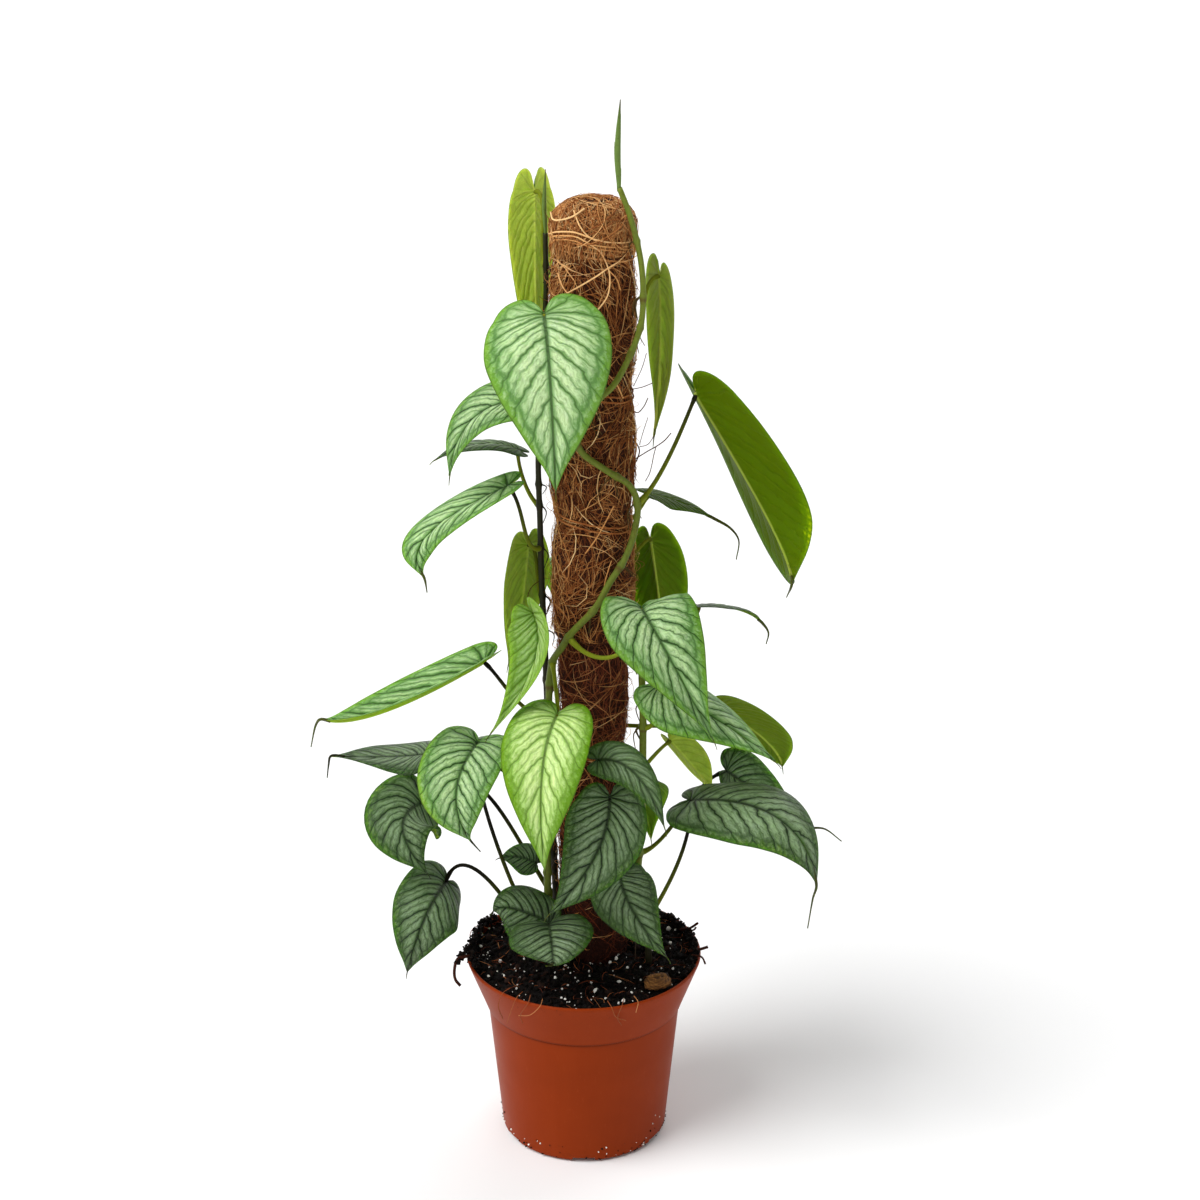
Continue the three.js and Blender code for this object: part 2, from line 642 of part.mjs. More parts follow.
// Gives a sheet of triangles its thickness, alike on both faces
function thicken(points, triangles, margins) {
  const key = (p) => p.toArray().map((v) => v.toFixed(3)).join();
  const normals = new Map();
  for (const [a, b, c] of triangles) {
    const [p, q, r] = [points[a], points[b], points[c]];
    const normal = q.clone().sub(p).cross(r.clone().sub(p)).normalize();
    for (const corner of [p, q, r]) {
      const sum = normals.get(key(corner)) ?? new THREE.Vector3();
      normals.set(key(corner), sum.add(normal));
    }
  }
  const half = BLADE.thickness / 2;
  const shifted = (sign) => points.map((p) => {
    const normal = normals.get(key(p)).clone().normalize();
    return p.clone().addScaledVector(normal, sign * half);
  });
  const positions = [...shifted(1), ...shifted(-1)].flatMap((p) => p.toArray());
  const below = points.length;
  const index = [];
  for (const [a, b, c] of triangles) index.push(a, b, c, a + below, c + below, b + below);
  for (const { side, ids } of margins) {
    for (let i = 0; i + 1 < ids.length; i += 1) {
      const [a, b] = side > 0 ? [ids[i + 1], ids[i]] : [ids[i], ids[i + 1]];
      index.push(a, a + below, b + below, a, b + below, b);
    }
  }
  const geometry = new THREE.BufferGeometry();
  geometry.setAttribute('position', new THREE.Float32BufferAttribute(positions, 3));
  geometry.setIndex(index);
  return geometry;
}

// The petiole, from just off its vine to the underside of the blade at the joint
function petioleCurve(leaf, frame) {
  const joint = vector(leaf.joint);
  const { point, along, radius } = vineAt(VINES[leaf.vine], leaf.at);
  const first = leaf.out ? vector(leaf.out) : joint;
  const away = first.clone().sub(point);
  away.addScaledVector(along, -away.dot(along)).normalize();
  const heading = first.clone().sub(point).normalize().dot(away);
  const lean = PETIOLE.radii[0] * Math.sqrt(1 - Math.min(leaf.out ? heading : 1, 1) ** 2);
  const start = point.clone().addScaledVector(away, radius + CLEARANCE + lean);
  const forward = frame.rib.getTangent(0);
  const over = new THREE.Vector3().crossVectors(forward, frame.face).normalize();
  const up = new THREE.Vector3().crossVectors(over, forward);
  const reach = start.distanceTo(joint);
  const out = leaf.out ? vector(leaf.out) : start.clone().addScaledVector(away, PETIOLE.bend * reach);
  const behind = joint.clone().addScaledVector(forward, -PETIOLE.setBack * reach);
  const into = leaf.into ? vector(leaf.into) : behind.addScaledVector(up, -PETIOLE.bend * reach);
  const end = joint.clone().addScaledVector(forward, PETIOLE.seat);
  return new THREE.CubicBezierCurve3(start, out, into, end);
}

function petioleSolid(leaf, frame) {
  const curve = petioleCurve(leaf, frame);
  const steps = Math.max(PETIOLE.fewest, Math.round(curve.getLength() / PETIOLE.step));
  return toSolid(tube(curve, steps, PETIOLE.sides, (t) => smooth(...PETIOLE.radii, t)));
}

function tailSolid(leaf, frame) {
  const points = [frame.rib.getPoint(TAIL.root), ...[leaf.tip, ...leaf.tail].map(vector)];
  const curve = new THREE.CatmullRomCurve3(points, false, 'centripetal');
  const steps = Math.ceil(curve.getLength() / TAIL.step);
  return toSolid(tube(curve, steps, TAIL.sides, (t) => smooth(...TAIL.radii, t)));
}

function makeLeaves() {
  for (const [name, leaf] of Object.entries(LEAVES)) {
    const frame = leafFrame(leaf);
    let solid = toSolid(bladeGeometry(leaf, frame)).add(petioleSolid(leaf, frame));
    if (leaf.tail) solid = solid.add(tailSolid(leaf, frame));
    addMesh(name, toGeometry(solid), COLOUR[leaf.colour], 0.5);
  }
}

// Soil, mounded to the rim, with holes where the pole and the stems stand in it
function soilTop(x, y) {
  const share = Math.min(Math.hypot(x, y) / POT.rimRadius, 1);
  const lumps = Math.sin(x / 6.1 + 1) * Math.cos(y / 5.3) + 0.6 * Math.sin((x + y) / 3.7);
  return SOIL.edgeHeight + SOIL.mound * (1 - share ** 2) + SOIL.lump * lumps * (1 - share ** 6);
}

function chipGeometry(extra) {
  const chip = new THREE.IcosahedronGeometry(1, 1);
  chip.scale(CHIP.length / 2 + extra, CHIP.width / 2 + extra, CHIP.height / 2 + extra);
  chip.rotateZ(CHIP.turn);
  chip.translate(CHIP.x, CHIP.y, soilTop(CHIP.x, CHIP.y) + CHIP.height * 0.2);
  return chip;
}

function makeSoil() {
  const [rim, ...wall] = potInside;
  const edge = SOIL.edgeHeight - 1;
  const edgeRadius = smooth(wall[0][0], rim[0], (edge - wall[0][1]) / (rim[1] - wall[0][1]));
  const sides = [...wall.reverse(), [edgeRadius, edge]];
  const rings = sides.map(([radius, height], row) => {
    const lift = row === 0 ? CLEARANCE : 0;
    return levelRing(0, SOIL.segments, () => radius - 2 * CLEARANCE, () => height + lift);
  });
  for (const share of SOIL_RINGS) {
    rings.push(levelRing(0, SOIL.segments, () => share * POT.rimRadius, soilTop));
  }
  let soil = toSolid(loft(rings));
  const holeRadius = POLE.lowerRadius + POLE.fibreRelief + 2 * CLEARANCE;
  const holeTop = SOIL.edgeHeight + 2 * SOIL.mound;
  const poleHole = uprightCylinder(POLE.x, 0, holeRadius, POLE.coreFoot - CLEARANCE, holeTop, POLE.segments);
  soil = soil.subtract(toSolid(poleHole));
  for (const vine of Object.values(VINES)) soil = soil.subtract(vineTube(vine, CLEARANCE));
  soil = soil.subtract(toSolid(chipGeometry(CLEARANCE)));
  addMesh('soil', toGeometry(soil), COLOUR.soil, 1);
  addMesh('bark_chip', toGeometry(toSolid(chipGeometry(0))), COLOUR.bark, 0.9);
}

makePot();
makeSoil();
makePole();
makeVines();
makeLeaves();

export default group;
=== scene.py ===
"""Dresses the potted climbing plant: fine leaves with veins, coir fibres, crumbly soil and a moulded pot."""
import math

import bpy
import bmesh
import numpy as np
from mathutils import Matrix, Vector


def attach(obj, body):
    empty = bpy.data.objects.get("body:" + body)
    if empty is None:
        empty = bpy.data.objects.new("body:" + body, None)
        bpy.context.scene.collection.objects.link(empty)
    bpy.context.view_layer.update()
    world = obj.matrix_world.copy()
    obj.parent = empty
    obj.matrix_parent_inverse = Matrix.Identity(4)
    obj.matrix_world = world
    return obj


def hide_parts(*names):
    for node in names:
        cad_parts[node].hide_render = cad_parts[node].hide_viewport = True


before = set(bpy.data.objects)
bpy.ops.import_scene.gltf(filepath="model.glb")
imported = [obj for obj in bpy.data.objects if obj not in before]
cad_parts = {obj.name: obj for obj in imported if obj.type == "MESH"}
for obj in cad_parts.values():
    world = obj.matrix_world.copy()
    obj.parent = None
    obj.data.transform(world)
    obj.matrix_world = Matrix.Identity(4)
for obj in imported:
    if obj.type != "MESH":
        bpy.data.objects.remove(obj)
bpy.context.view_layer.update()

# Lengths are in millimetres; meshes are scaled to metres as they are made.
MM = 0.001

POT_HEIGHT = 99.0
POT_RIM = 60.0
POT_COLLAR = 26.0
POT_COLLAR_FOOT_RADIUS = 50.6
POT_BODY_TOP_RADIUS = 49.4
POT_BASE_RADIUS = 42.6
POT_WALL = 1.6
POT_FLOOR = 4.0
POT_EDGE = 2.4
POT_TURN_STEPS = 180
DRAINS = 6
DRAIN_WIDTH = 13.0
DRAIN_HEIGHT = 2.4
DRAIN_TAPER = 0.9
DRAIN_HOLE_RADIUS = 3.0
DRAIN_HOLE_DISTANCE = 35.5

SOIL_EDGE = 96.4
SOIL_MOUND = 5.5
SOIL_LUMP = 1.1
SKIRT_RADIUS = 51.0
SKIRT_HEIGHT = 86.0

POLE_X = 5.0
POLE_LOWER_RADIUS = 16.5
POLE_UPPER_RADIUS = 19.5
POLE_JOINT = 275.0
POLE_TOP = 487.0
POLE_CROWN = 12.0
POLE_WAIST = 2.2
POLE_WAIST_REACH = 11.0
BINDINGS = {"binding_top": 464.0, "binding_upper": 398.0, "binding_middle": 334.0, "binding_lower": 214.0}

CHIP_PLACE = (37.0, -34.0)
CHIP_SIZE = (14.0, 12.0, 7.0)
CHIP_TURN = 0.6

BLADE_THICKNESS = 0.42
BLADE_ROWS = 64
BLADE_COLUMNS = 13
BLADE_RIPPLE = 0.02
BLADE_SWELL = 0.012
MARGIN_WAVE = 0.012
MIDRIB_DEPTH = 0.55
QUILT = 0.62
VEIN_SHIFT = 0.2
VEIN_DRIFT = 0.45
VEIN_SWAY = 0.12
VEIN_RIPPLE = 0.03
PETIOLE_RADII = (1.15, 0.85)
PETIOLE_BEND = 0.3
PETIOLE_SET_BACK = 0.08
PETIOLE_SEAT = 1.2
PETIOLE_SWELLS = (0.5, 0.45)
TAIL_RADII = (0.85, 0.3)
DRIP_TIP_RADII = (0.42, 0.15)
WELD_DISTANCE = 0.004

SLEEVE_TURNS = 96
SLEEVE_ROW = 1.6
COIR_FOOT = 80.0
SLEEVE_GAP = 0.3
UPPER_STRANDS = 6300
LOWER_STRANDS = 4400
STRAY_FIBRES = 760
BINDING_TURNS = 2.12
BINDING_STEPS = 150
BINDING_PITCH = 2.6
BINDING_SLANT = 4.0
BINDING_STAND = 1.3
BINDING_STRAND = 0.24
ROOT_RADII = (0.42, 0.18)
SPEAR_SINK = 2.2

SOIL_TURNS = 200
SOIL_ROWS = 62
SOIL_REACH = 57.2
SOIL_SINK = 0.9
CRUMBS = 4200
CLOD_CRUMBS = 40
PERLITE_GRAINS = 230
LITTER_FIBRES = 300
LITTER_REACH = 58.5
FOOT_SPECKS = 130

FLOOR_REACH = 20.0
FLOOR_LEVEL = -0.0003
FLOOR_GREY = 243
CAMERA_LENS = 72.0
CAMERA_SENSOR = 36.0
CAMERA_PLACE = (0.0083, -1.0912, 0.6986)
CAMERA_DOWN = 20.49
# Strength of the light from all round, by how steeply it comes down
WALL_OF_LIGHT = {"From Min": 0.2, "From Max": 0.45, "To Min": 1.0, "To Max": 0.26}
# Lights: name, where it shines from, strength, and width in degrees
SUNS = [("key", (-1.0, -0.5, 1.5), 2.9, 40), ("back", (0.5, 1.0, 0.9), 1.15, 60)]

# Layers of coir: share of the strands, lengths, lift off the sleeve, how loosely they lie, radii,
# and lighter tone, which is painted light: the further out the strands lie, the lighter they are
COIR_LAYERS = [
    (0.48, (8, 20), (-0.9, -0.1), 0.4, (0.1, 0.22), 0.0),
    (0.46, (7, 18), (-0.3, 0.7), 0.5, (0.09, 0.22), 0.12),
    (0.06, (14, 34), (0.2, 1.3), 1.2, (0.16, 0.32), 0.26),
]
# Layers on the pole's top: strands, points in each, bend radii, lengths, lift, radii, reach from the middle
CROWN_LAYERS = [
    (1900, 7, (14, 40), (8, 22), (-0.6, 1.2), (0.1, 0.26), 29),
    (26, 20, (9, 17), (35, 80), (0.6, 2.2), (0.2, 0.34), 24),
]

# Margin of a blade: share of the length along it and share of the half width across it
OUTLINE = [(0, 0), (-0.075, 0.13), (-0.1, 0.38), (-0.035, 0.72), (0.13, 0.95), (0.33, 1), (0.55, 0.82),
           (0.75, 0.49), (0.91, 0.15), (1, 0)]
# Where the row that ends at each of those points starts on the midrib
RIB_FOOT = [0, 0.001, 0.003, 0.008, 0.02, 0.065, 0.21, 0.47, 0.78, 1]
# Side veins counted up to that row: one lies wherever the count is whole
VEIN_COUNT = [0, 0.35, 0.95, 1.6, 2.4, 3.5, 4.9, 6.4, 7.8, 9.0]

# Vines: radii at foot and tip, then points
VINES = {
    "vine_main": ((2, 1.3), [
        (-16, -6, 66), (-18, -5, 110), (-18, -5, 170), (-17, -6, 232), (-15, -11, 262), (-10, -17, 273),
        (-5, -20.5, 282), (6, -22.6, 295), (13, -22, 308), (20, -20, 319), (24.5, -16.5, 331),
        (26, -14, 344), (22, -18, 355), (11, -23, 364), (-1, -23.6, 374), (-3, -23.6, 387), (6, -23.2, 397),
        (14, -22.4, 404), (22, -20, 418), (27, -18, 432), (28, -16, 446), (27, -14, 460), (24, -14, 474),
        (21, -14, 484), (17, -13, 494),
    ]),
    "vine_left": ((1.9, 1.2), [
        (-11, 13, 66), (-14, 13, 120), (-17, 10, 190), (-18, 8, 236), (-19, 6, 270), (-20, 3, 300),
        (-20.5, 2, 330), (-21, 0, 365), (-19, 6, 405), (-17, 10, 440), (-17, 8, 469),
    ]),
    "vine_right": ((2.3, 1.3), [
        (22, 15, 66), (26, 11, 120), (29, 3, 170), (29.5, -5, 212), (29, -7, 246), (27, 6, 270),
        (20, 18, 290), (17, 21, 315), (17, 21.5, 360), (19, 20, 398),
    ]),
    "vine_back": ((1.9, 1.3), [
        (6, 22, 66), (8, 23, 140), (4, 22.5, 200), (2, 23, 260), (6, 25, 320), (8, 25, 370), (4, 25, 408),
    ]),
    "stem_short_left": ((1.9, 1.6), [
        (-26, -6, 66), (-27, -8, 100), (-28, -10, 132),
    ]),
    "stem_short_right": ((1.9, 1.6), [
        (33, -12, 66), (33, -13, 100), (31, -15, 134),
    ]),
}

# Rolled new leaves: widest radius, then points
SPEARS = {
    "spear_top": (1.4, [(16.8, -12.9, 494.6), (16.2, -12, 512), (17.4, -10, 533)]),
    "spear_left": (1, [(-17, 7.9, 469.6), (-17.4, 7, 484), (-16.6, 6, 499)]),
}

# Leaves: joint, middle and tip of the midrib, width, facing (right of the front, up), fold and cup in
# degrees, vine, height on it, colour, and bends of the petiole where it has any
LEAVES = {
    "leaf_top_left": ((-22, 20, 487), (-22, 14, 453), (-22, 0, 391), 31,
        (-136, 4), 19, 25, "vine_left", 452, "underside"),
    "leaf_big_silver": ((-17, -33, 441), (-14, -46, 411), (-12, -43, 360), 59,
        (-1, 14), 9, 29, "vine_main", 389, "silver"),
    "leaf_upper_left_tilted": ((-20, -19, 396), (-49, -19, 389), (-62, -20, 360), 35,
        (-31, 65), 18, 28, "vine_left", 374, "silver"),
    "leaf_upper_left_edge": ((-30, 11, 363), (-49, 8, 367), (-70, -4, 363), 29,
        (179, 84), 7, 21, "vine_left", 338, "slate"),
    "leaf_left_arched": ((-34, -12, 353), (-72, -22, 332), (-74, -35, 315), 28,
        (-26, 80), 24, 42, "vine_left", 316, "silver", {"tail": [(-73, -33, 307)]}),
    "leaf_left_behind": ((-27, 15, 315), (-30, 12, 286), (-37, 10, 253), 34,
        (-129, 4), 9, 27, "vine_left", 292, "underside"),
    "leaf_left_folded": ((-24, -17, 291), (-23, -29, 269), (-44, -44, 239), 32,
        (-27, 20), 58, 24, "vine_left", 272, "silver"),
    "leaf_left_long": ((-47, -10, 263), (-96, -26, 243), (-126, -28, 240), 25,
        (-10, 80), 50, 23, "vine_left", 228, "silver", {"tail": [(-129, -25, 236), (-132, -25, 224)]}),
    "leaf_low_left_flat": ((-77, 19, 201), (-97, 19, 199), (-127, 11, 203), 39,
        (0, 88), 8, 26, "vine_left", 168, "slate",
        {"out": (-40, 14, 200), "into": (-60, 20, 206), "tail": [(-128, 9, 199), (-129, 9, 192)]}),
    "leaf_low_left_silver": ((-51, -24, 226), (-60, -54, 213), (-54, -50, 186), 42,
        (-16, 28), 27, 31, "stem_short_left", 124, "silver",
        {"out": (-38, -7, 142), "into": (-56, -20, 205), "tail": [(-49, -56, 183)]}),
    "leaf_low_left_dark": ((-80, -3, 184), (-89, -22, 179), (-77, -28, 157), 41,
        (4, 30), 11, 31, "vine_left", 122, "slate", {"out": (-38, 29, 148), "into": (-52, 14, 215)}),
    "leaf_front_lime": ((-12, -39, 247), (-19, -62, 225), (-18, -63, 176), 44,
        (-18, 15), 19, 31, "vine_main", 262, "lime"),
    "leaf_soil_left": ((-69, -8, 143), (-79, -37, 135), (-88, -34, 105), 39,
        (8, 20), 8, 52, "stem_short_left", 110, "slate", {"out": (-42, -22, 150), "into": (-62, -10, 166)}),
    "leaf_front_slate": ((7, -45, 226), (25, -52, 222), (39, -66, 200), 22,
        (21, 45), 14, 30, "vine_right", 205, "slate"),
    "leaf_front_dark": ((13, -42, 206), (6, -52, 179), (-16, -63, 153), 40,
        (-2, 20), 21, 22, "stem_short_right", 128, "slate",
        {"out": (24, -14, 158), "into": (14, -30, 190)}),
    "leaf_soil_front_left": ((-16, -20, 125), (-35, -23, 135), (-45, -24, 134), 31,
        (7, 40), 9, 55, "stem_short_left", 116, "slate"),
    "leaf_soil_front": ((-17, -35, 133), (-15, -52, 128), (-15, -55, 121), 42,
        (-6, 53), 15, 21, "stem_short_left", 104, "slate", {"tail": [(-18, -58, 122)]}),
    "leaf_soil_front_right": ((18, -32, 160), (24, -41, 144), (41, -53, 124), 35,
        (24, 30), 12, 31, "stem_short_right", 116, "slate"),
    "leaf_inner_left": ((-24, 9, 144), (-33, 10, 147), (-43, 9, 147), 18,
        (0, 50), 8, 24, "vine_left", 152, "slate"),
    "leaf_top_right": ((36, 7, 450), (37, 13, 411), (34, 7, 371), 31,
        (114, 11), 13, 32, "vine_main", 430, "underside"),
    "leaf_right_large": ((53, 0, 395), (90, 6, 329), (99, -25, 308), 56,
        (120, -11), 29, 21, "vine_main", 344, "underside",
        {"out": (39, -4, 354), "into": (50, 2, 385), "tail": [(98, -10, 296)]}),
    "leaf_right_upper": ((31, 12, 341), (45, 16, 336), (64, 16, 327), 26,
        (0, 88), 8, 24, "vine_right", 322, "slate",
        {"tail": [(72, 16, 322), (76, 16, 316), (75, 16, 306)]}),
    "leaf_right_behind": ((33, 22, 315), (38, 10, 281), (42, 15, 240), 33,
        (174, 6), 48, 43, "vine_right", 302, "underside"),
    "leaf_right_silver": ((28, -28, 297), (38, -47, 285), (62, -51, 239), 47,
        (8, 32), 30, 38, "vine_main", 279, "silver", {"out": (8, -27, 262), "into": (28, -25, 272)}),
    "leaf_right_edge": ((56, 15, 282), (75, 18, 280), (89, 20, 271), 26,
        (180, 72), 8, 24, "vine_right", 262, "slate", {"tail": [(92, 20, 266), (91, 20, 260)]}),
    "leaf_right_lower_silver": ((36, -13, 251), (59, -27, 243), (92, -42, 224), 43,
        (11, 76), 8, 48, "vine_right", 226, "silver"),
    "leaf_right_lower_back": ((66, 17, 228), (91, 22, 208), (101, 22, 192), 43,
        (168, 46), 10, 23, "vine_back", 214, "underside"),
    "leaf_low_right_slate": ((53, -5, 186), (94, -37, 192), (114, -42, 158), 47,
        (10, 65), 8, 48, "stem_short_right", 124, "slate",
        {"out": (42, -13, 141), "into": (54, -13, 165), "tail": [(113, -36, 147), (111, -36, 131)]}),
    "leaf_low_right_behind": ((72, 20, 191), (87, 20, 180), (113, 10, 164), 33,
        (-2, 54), 10, 16, "vine_right", 150, "slate", {"tail": [(122, 8, 164), (131, 8, 157)]}),
    "leaf_right_olive": ((43, 18, 209), (56, 17, 194), (65, 12, 183), 22,
        (128, -11), 30, 12, "vine_right", 202, "underside"),
    "leaf_back_high_left": ((-9, 42, 424), (-18, 64, 403), (-25, 74, 360), 46,
        (-168, 25), 10, 32, "vine_back", 396, "silver"),
    "leaf_back_high_right": ((6, 40, 384), (11, 54, 362), (12, 64, 320), 40,
        (126, 22), 10, 32, "vine_back", 350, "silver"),
    "leaf_back_middle_left": ((-2, 44, 306), (-7, 62, 290), (-10, 74, 250), 44,
        (-132, 28), 10, 32, "vine_back", 276, "silver"),
    "leaf_back_middle_right": ((20, 50, 262), (38, 74, 248), (52, 84, 206), 44,
        (158, 32), 10, 32, "vine_back", 226, "slate"),
    "leaf_back_low_left": ((-30, 48, 194), (-50, 70, 180), (-64, 80, 142), 44,
        (-158, 32), 10, 32, "vine_back", 164, "slate"),
    "leaf_back_low_right": ((16, 48, 170), (28, 70, 158), (36, 80, 122), 42,
        (165, 32), 10, 32, "vine_back", 142, "slate"),
}

# How dark each leaf's green and its petiole are, from 0 to 1, and how far plain green hides its silver
LEAF_TONES = {
    "leaf_top_left": (0.0, 0.1), "leaf_big_silver": (0.0, 0.05), "leaf_upper_left_tilted": (0.55, 0.3),
    "leaf_upper_left_edge": (0.5, 0.3), "leaf_left_arched": (0.2, 0.7), "leaf_left_behind": (0.45, 0.5),
    "leaf_left_folded": (0.1, 0.6, 0.45), "leaf_left_long": (0.15, 0.75), "leaf_low_left_flat": (1.0, 0.95),
    "leaf_low_left_silver": (0.65, 0.95), "leaf_low_left_dark": (0.6, 0.95), "leaf_front_lime": (0.0, 0.3),
    "leaf_soil_left": (0.75, 0.95), "leaf_front_slate": (0.0, 0.6), "leaf_front_dark": (0.3, 0.8),
    "leaf_soil_front_left": (0.4, 0.9), "leaf_soil_front": (0.4, 0.9), "leaf_soil_front_right": (0.2, 0.9),
    "leaf_inner_left": (0.7, 0.9), "leaf_top_right": (0.45, 0.1), "leaf_right_large": (1.0, 0.65),
    "leaf_right_upper": (0.7, 0.2, 0.95), "leaf_right_behind": (0.95, 0.3), "leaf_right_silver": (0.6, 0.15),
    "leaf_right_edge": (0.3, 0.4), "leaf_right_lower_silver": (0.4, 0.4),
    "leaf_right_lower_back": (0.85, 0.5),
    "leaf_low_right_slate": (0.3, 0.8), "leaf_low_right_behind": (0.5, 0.8), "leaf_right_olive": (0.2, 0.2),
}
# The leaves at the back, which have no row there
USUAL_TONES = (0.4, 0.4)

# Tone of each vine at its foot and tip, from pale to dark
VINE_TONES = {"vine_main": (0.75, 0.05), "vine_left": (1.0, 0.7), "vine_right": (0.35, 0.2),
              "vine_back": (0.6, 0.3), "stem_short_left": (1.0, 1.0), "stem_short_right": (1.0, 0.9)}
VINE_SLOTS = {"vine_main": "vine_green", "vine_left": "stem_dark", "vine_right": "vine_green",
              "vine_back": "vine_green", "stem_short_left": "stem_dark", "stem_short_right": "stem_dark"}

# Long loose strands: radius, tone, and places as degrees round the pole (-90 is its front) and height
LOOSE_FIBRES = [
    (0.36, 0.9, [(-145, 471), (-112, 473), (-95, 470), (-80, 466), (-72, 461), (-68, 455), (-72, 446),
                 (-88, 438)]),
    (0.36, 0.9, [(-126, 446), (-104, 451), (-86, 455), (-67, 459), (-53, 461), (-35, 465)]),
    (0.4, 0.95, [(-170, 481), (-150, 479), (-132, 480), (-117, 482), (-104, 485)]),
    (0.34, 0.9, [(-121, 484), (-106, 478), (-97, 474), (-84, 471)]),
    (0.4, 0.88, [(-170, 471), (-140, 474), (-113, 475), (-86, 472), (-62, 470), (-30, 469), (-4, 470)]),
    (0.36, 0.8, [(-172, 469), (-142, 472), (-112, 473), (-94, 470), (-66, 468), (-34, 467), (-2, 467)]),
    (0.33, 0.72, [(-168, 467), (-145, 470), (-115, 471), (-90, 468), (-60, 466), (-30, 464), (-2, 465)]),
    (0.3, 0.85, [(-141, 455), (-129, 449), (-113, 444), (-100, 440)]),
    (0.28, 0.75, [(-70, 458), (-58, 453), (-54, 448)]),
    (0.3, 0.8, [(-118, 412), (-100, 409), (-80, 411), (-60, 405), (-44, 396)]),
    (0.3, 0.7, [(-62, 345), (-74, 336), (-86, 329), (-100, 322)]),
    (0.28, 0.7, [(-66, 318), (-74, 309), (-78, 300)]),
    (0.34, 0.6, [(100, 470), (130, 466), (160, 459), (190, 458)]),
    (0.3, 0.7, [(30, 440), (60, 447), (95, 444), (120, 436), (130, 425)]),
    (0.3, 0.7, [(70, 380), (95, 371), (118, 373), (140, 366)]),
]
# Thin dry roots that stand out on the right: radius, then points
WISPS = [
    (0.22, [(23, 2, 396), (28, 2, 397), (33, 2, 399)]),
    (0.26, [(23, 4, 386), (26, 4, 384), (29, 4, 387), (31, 5, 391)]),
    (0.34, [(22, 0, 380), (24, 0, 375), (25, 0, 371), (27, 0, 367), (26, 1, 362), (24, 2, 358)]),
    (0.28, [(25, 1, 362), (31, 4, 365), (35, 5, 367), (39, 5, 370), (42, 4, 374)]),
    (0.22, [(35, 5, 367), (34, 5, 363), (33, 4, 358), (32, 4, 354), (30, 4, 350)]),
    (0.2, [(27, 1, 368), (31, 2, 369), (34, 3, 373)]),
    (0.18, [(27, 1, 369), (29, 2, 376), (31, 3, 382)]),
    (0.2, [(24, 0, 398), (28, 0, 407), (30, 0, 414)]),
    (0.2, [(-20, 4, 300), (-25, 4, 296), (-27, 5, 289), (-24, 6, 284)]),
    (0.22, [(4, 24, 330), (8, 28, 322), (14, 28, 318)]),
]

# Clods that lie over the rim: place and size
LEFT_HEAP = [(57.5 * math.cos(turn), 57.5 * math.sin(turn), 100.2 + 1.3 * math.sin(5 * turn), 2.7)
             for turn in np.radians(range(146, 200, 4))]
RIGHT_HEAP = [(56.6 * math.cos(turn), 56.6 * math.sin(turn), 99.4 + 0.8 * math.sin(7 * turn), 2.4)
              for turn in np.radians(range(-26, 74, 4))]
SINGLE_CLODS = [(-60.5, -2, 100.2, 2.6), (-62.5, -6, 99.2, 2.5), (-64, -9, 97.8, 1.9), (-54, -18, 99.8, 2.2),
              (54, -14, 100.2, 1.8), (57.6, -5, 100.4, 2.0), (46, 34, 100, 2.2), (-30, 49, 100, 2.2)]

# Fibres that hang over the rim: points, radius and tone
RIM_FIBRES = [
    ([(-36, -42, 101), (-40, -46, 100), (-42, -48, 94), (-40, -46.5, 86)], 0.22, 0.5),
    ([(-30, -46, 101), (-33, -50.5, 100), (-36, -51, 92), (-38, -47.5, 84)], 0.18, 0.6),
    ([(-26, -50, 101.5), (-27, -54, 99.5), (-31, -53.5, 92), (-30, -51, 86)], 0.2, 0.5),
    ([(-20, -53, 101), (-21, -57.5, 99.8), (-26, -56.5, 94), (-32, -52, 91)], 0.17, 0.75),
    ([(12, -55, 101), (14, -59.2, 99.8), (16, -58.4, 94), (21, -55, 90)], 0.18, 0.6),
    ([(20, -53, 101), (19, -57.6, 99.6), (17, -57.6, 93), (19, -54.5, 87)], 0.2, 0.5),
    ([(25, -50, 101), (27, -54, 99.8), (26, -54.2, 94)], 0.18, 0.8),
    ([(50, 20, 100), (55, 18, 102), (59, 16, 106)], 0.7, 0.1),
    ([(53, 18, 100), (57, 17, 101.5), (58, 15, 104)], 0.5, 0.15),
    ([(54, -3, 100), (59, -4, 101.5), (63.5, -3, 102.5)], 0.8, 0.1),
    ([(55, -8, 100.5), (60, -10, 100.5), (62, -11, 97)], 0.5, 0.12),
    ([(-58, -8, 100), (-64, -9, 99), (-66, -10, 93), (-65.5, -11, 88), (-63, -12, 85)], 0.85, 0.1),
    ([(-50, 20, 101), (-56, 21, 101.5), (-59.6, 22, 96), (-57, 21, 88)], 0.2, 0.5),
    ([(30, 47, 101), (33, 51.5, 100.5), (35, 51.6, 93)], 0.2, 0.6),
]


def vec(*values):
    """A point or direction."""
    return np.array(values, float)


def unit(v):
    """The same directions with length one."""
    return v / np.maximum(np.linalg.norm(v, axis=-1, keepdims=True), 1e-9)


def ramp(a, b, t):
    """Straight step from a to b."""
    return a + (b - a) * t


def ease(a, b, x):
    """Eased step from 0 to 1 while x goes from a to b."""
    t = np.clip((x - a) / (b - a), 0, 1)
    return t * t * (3 - 2 * t)


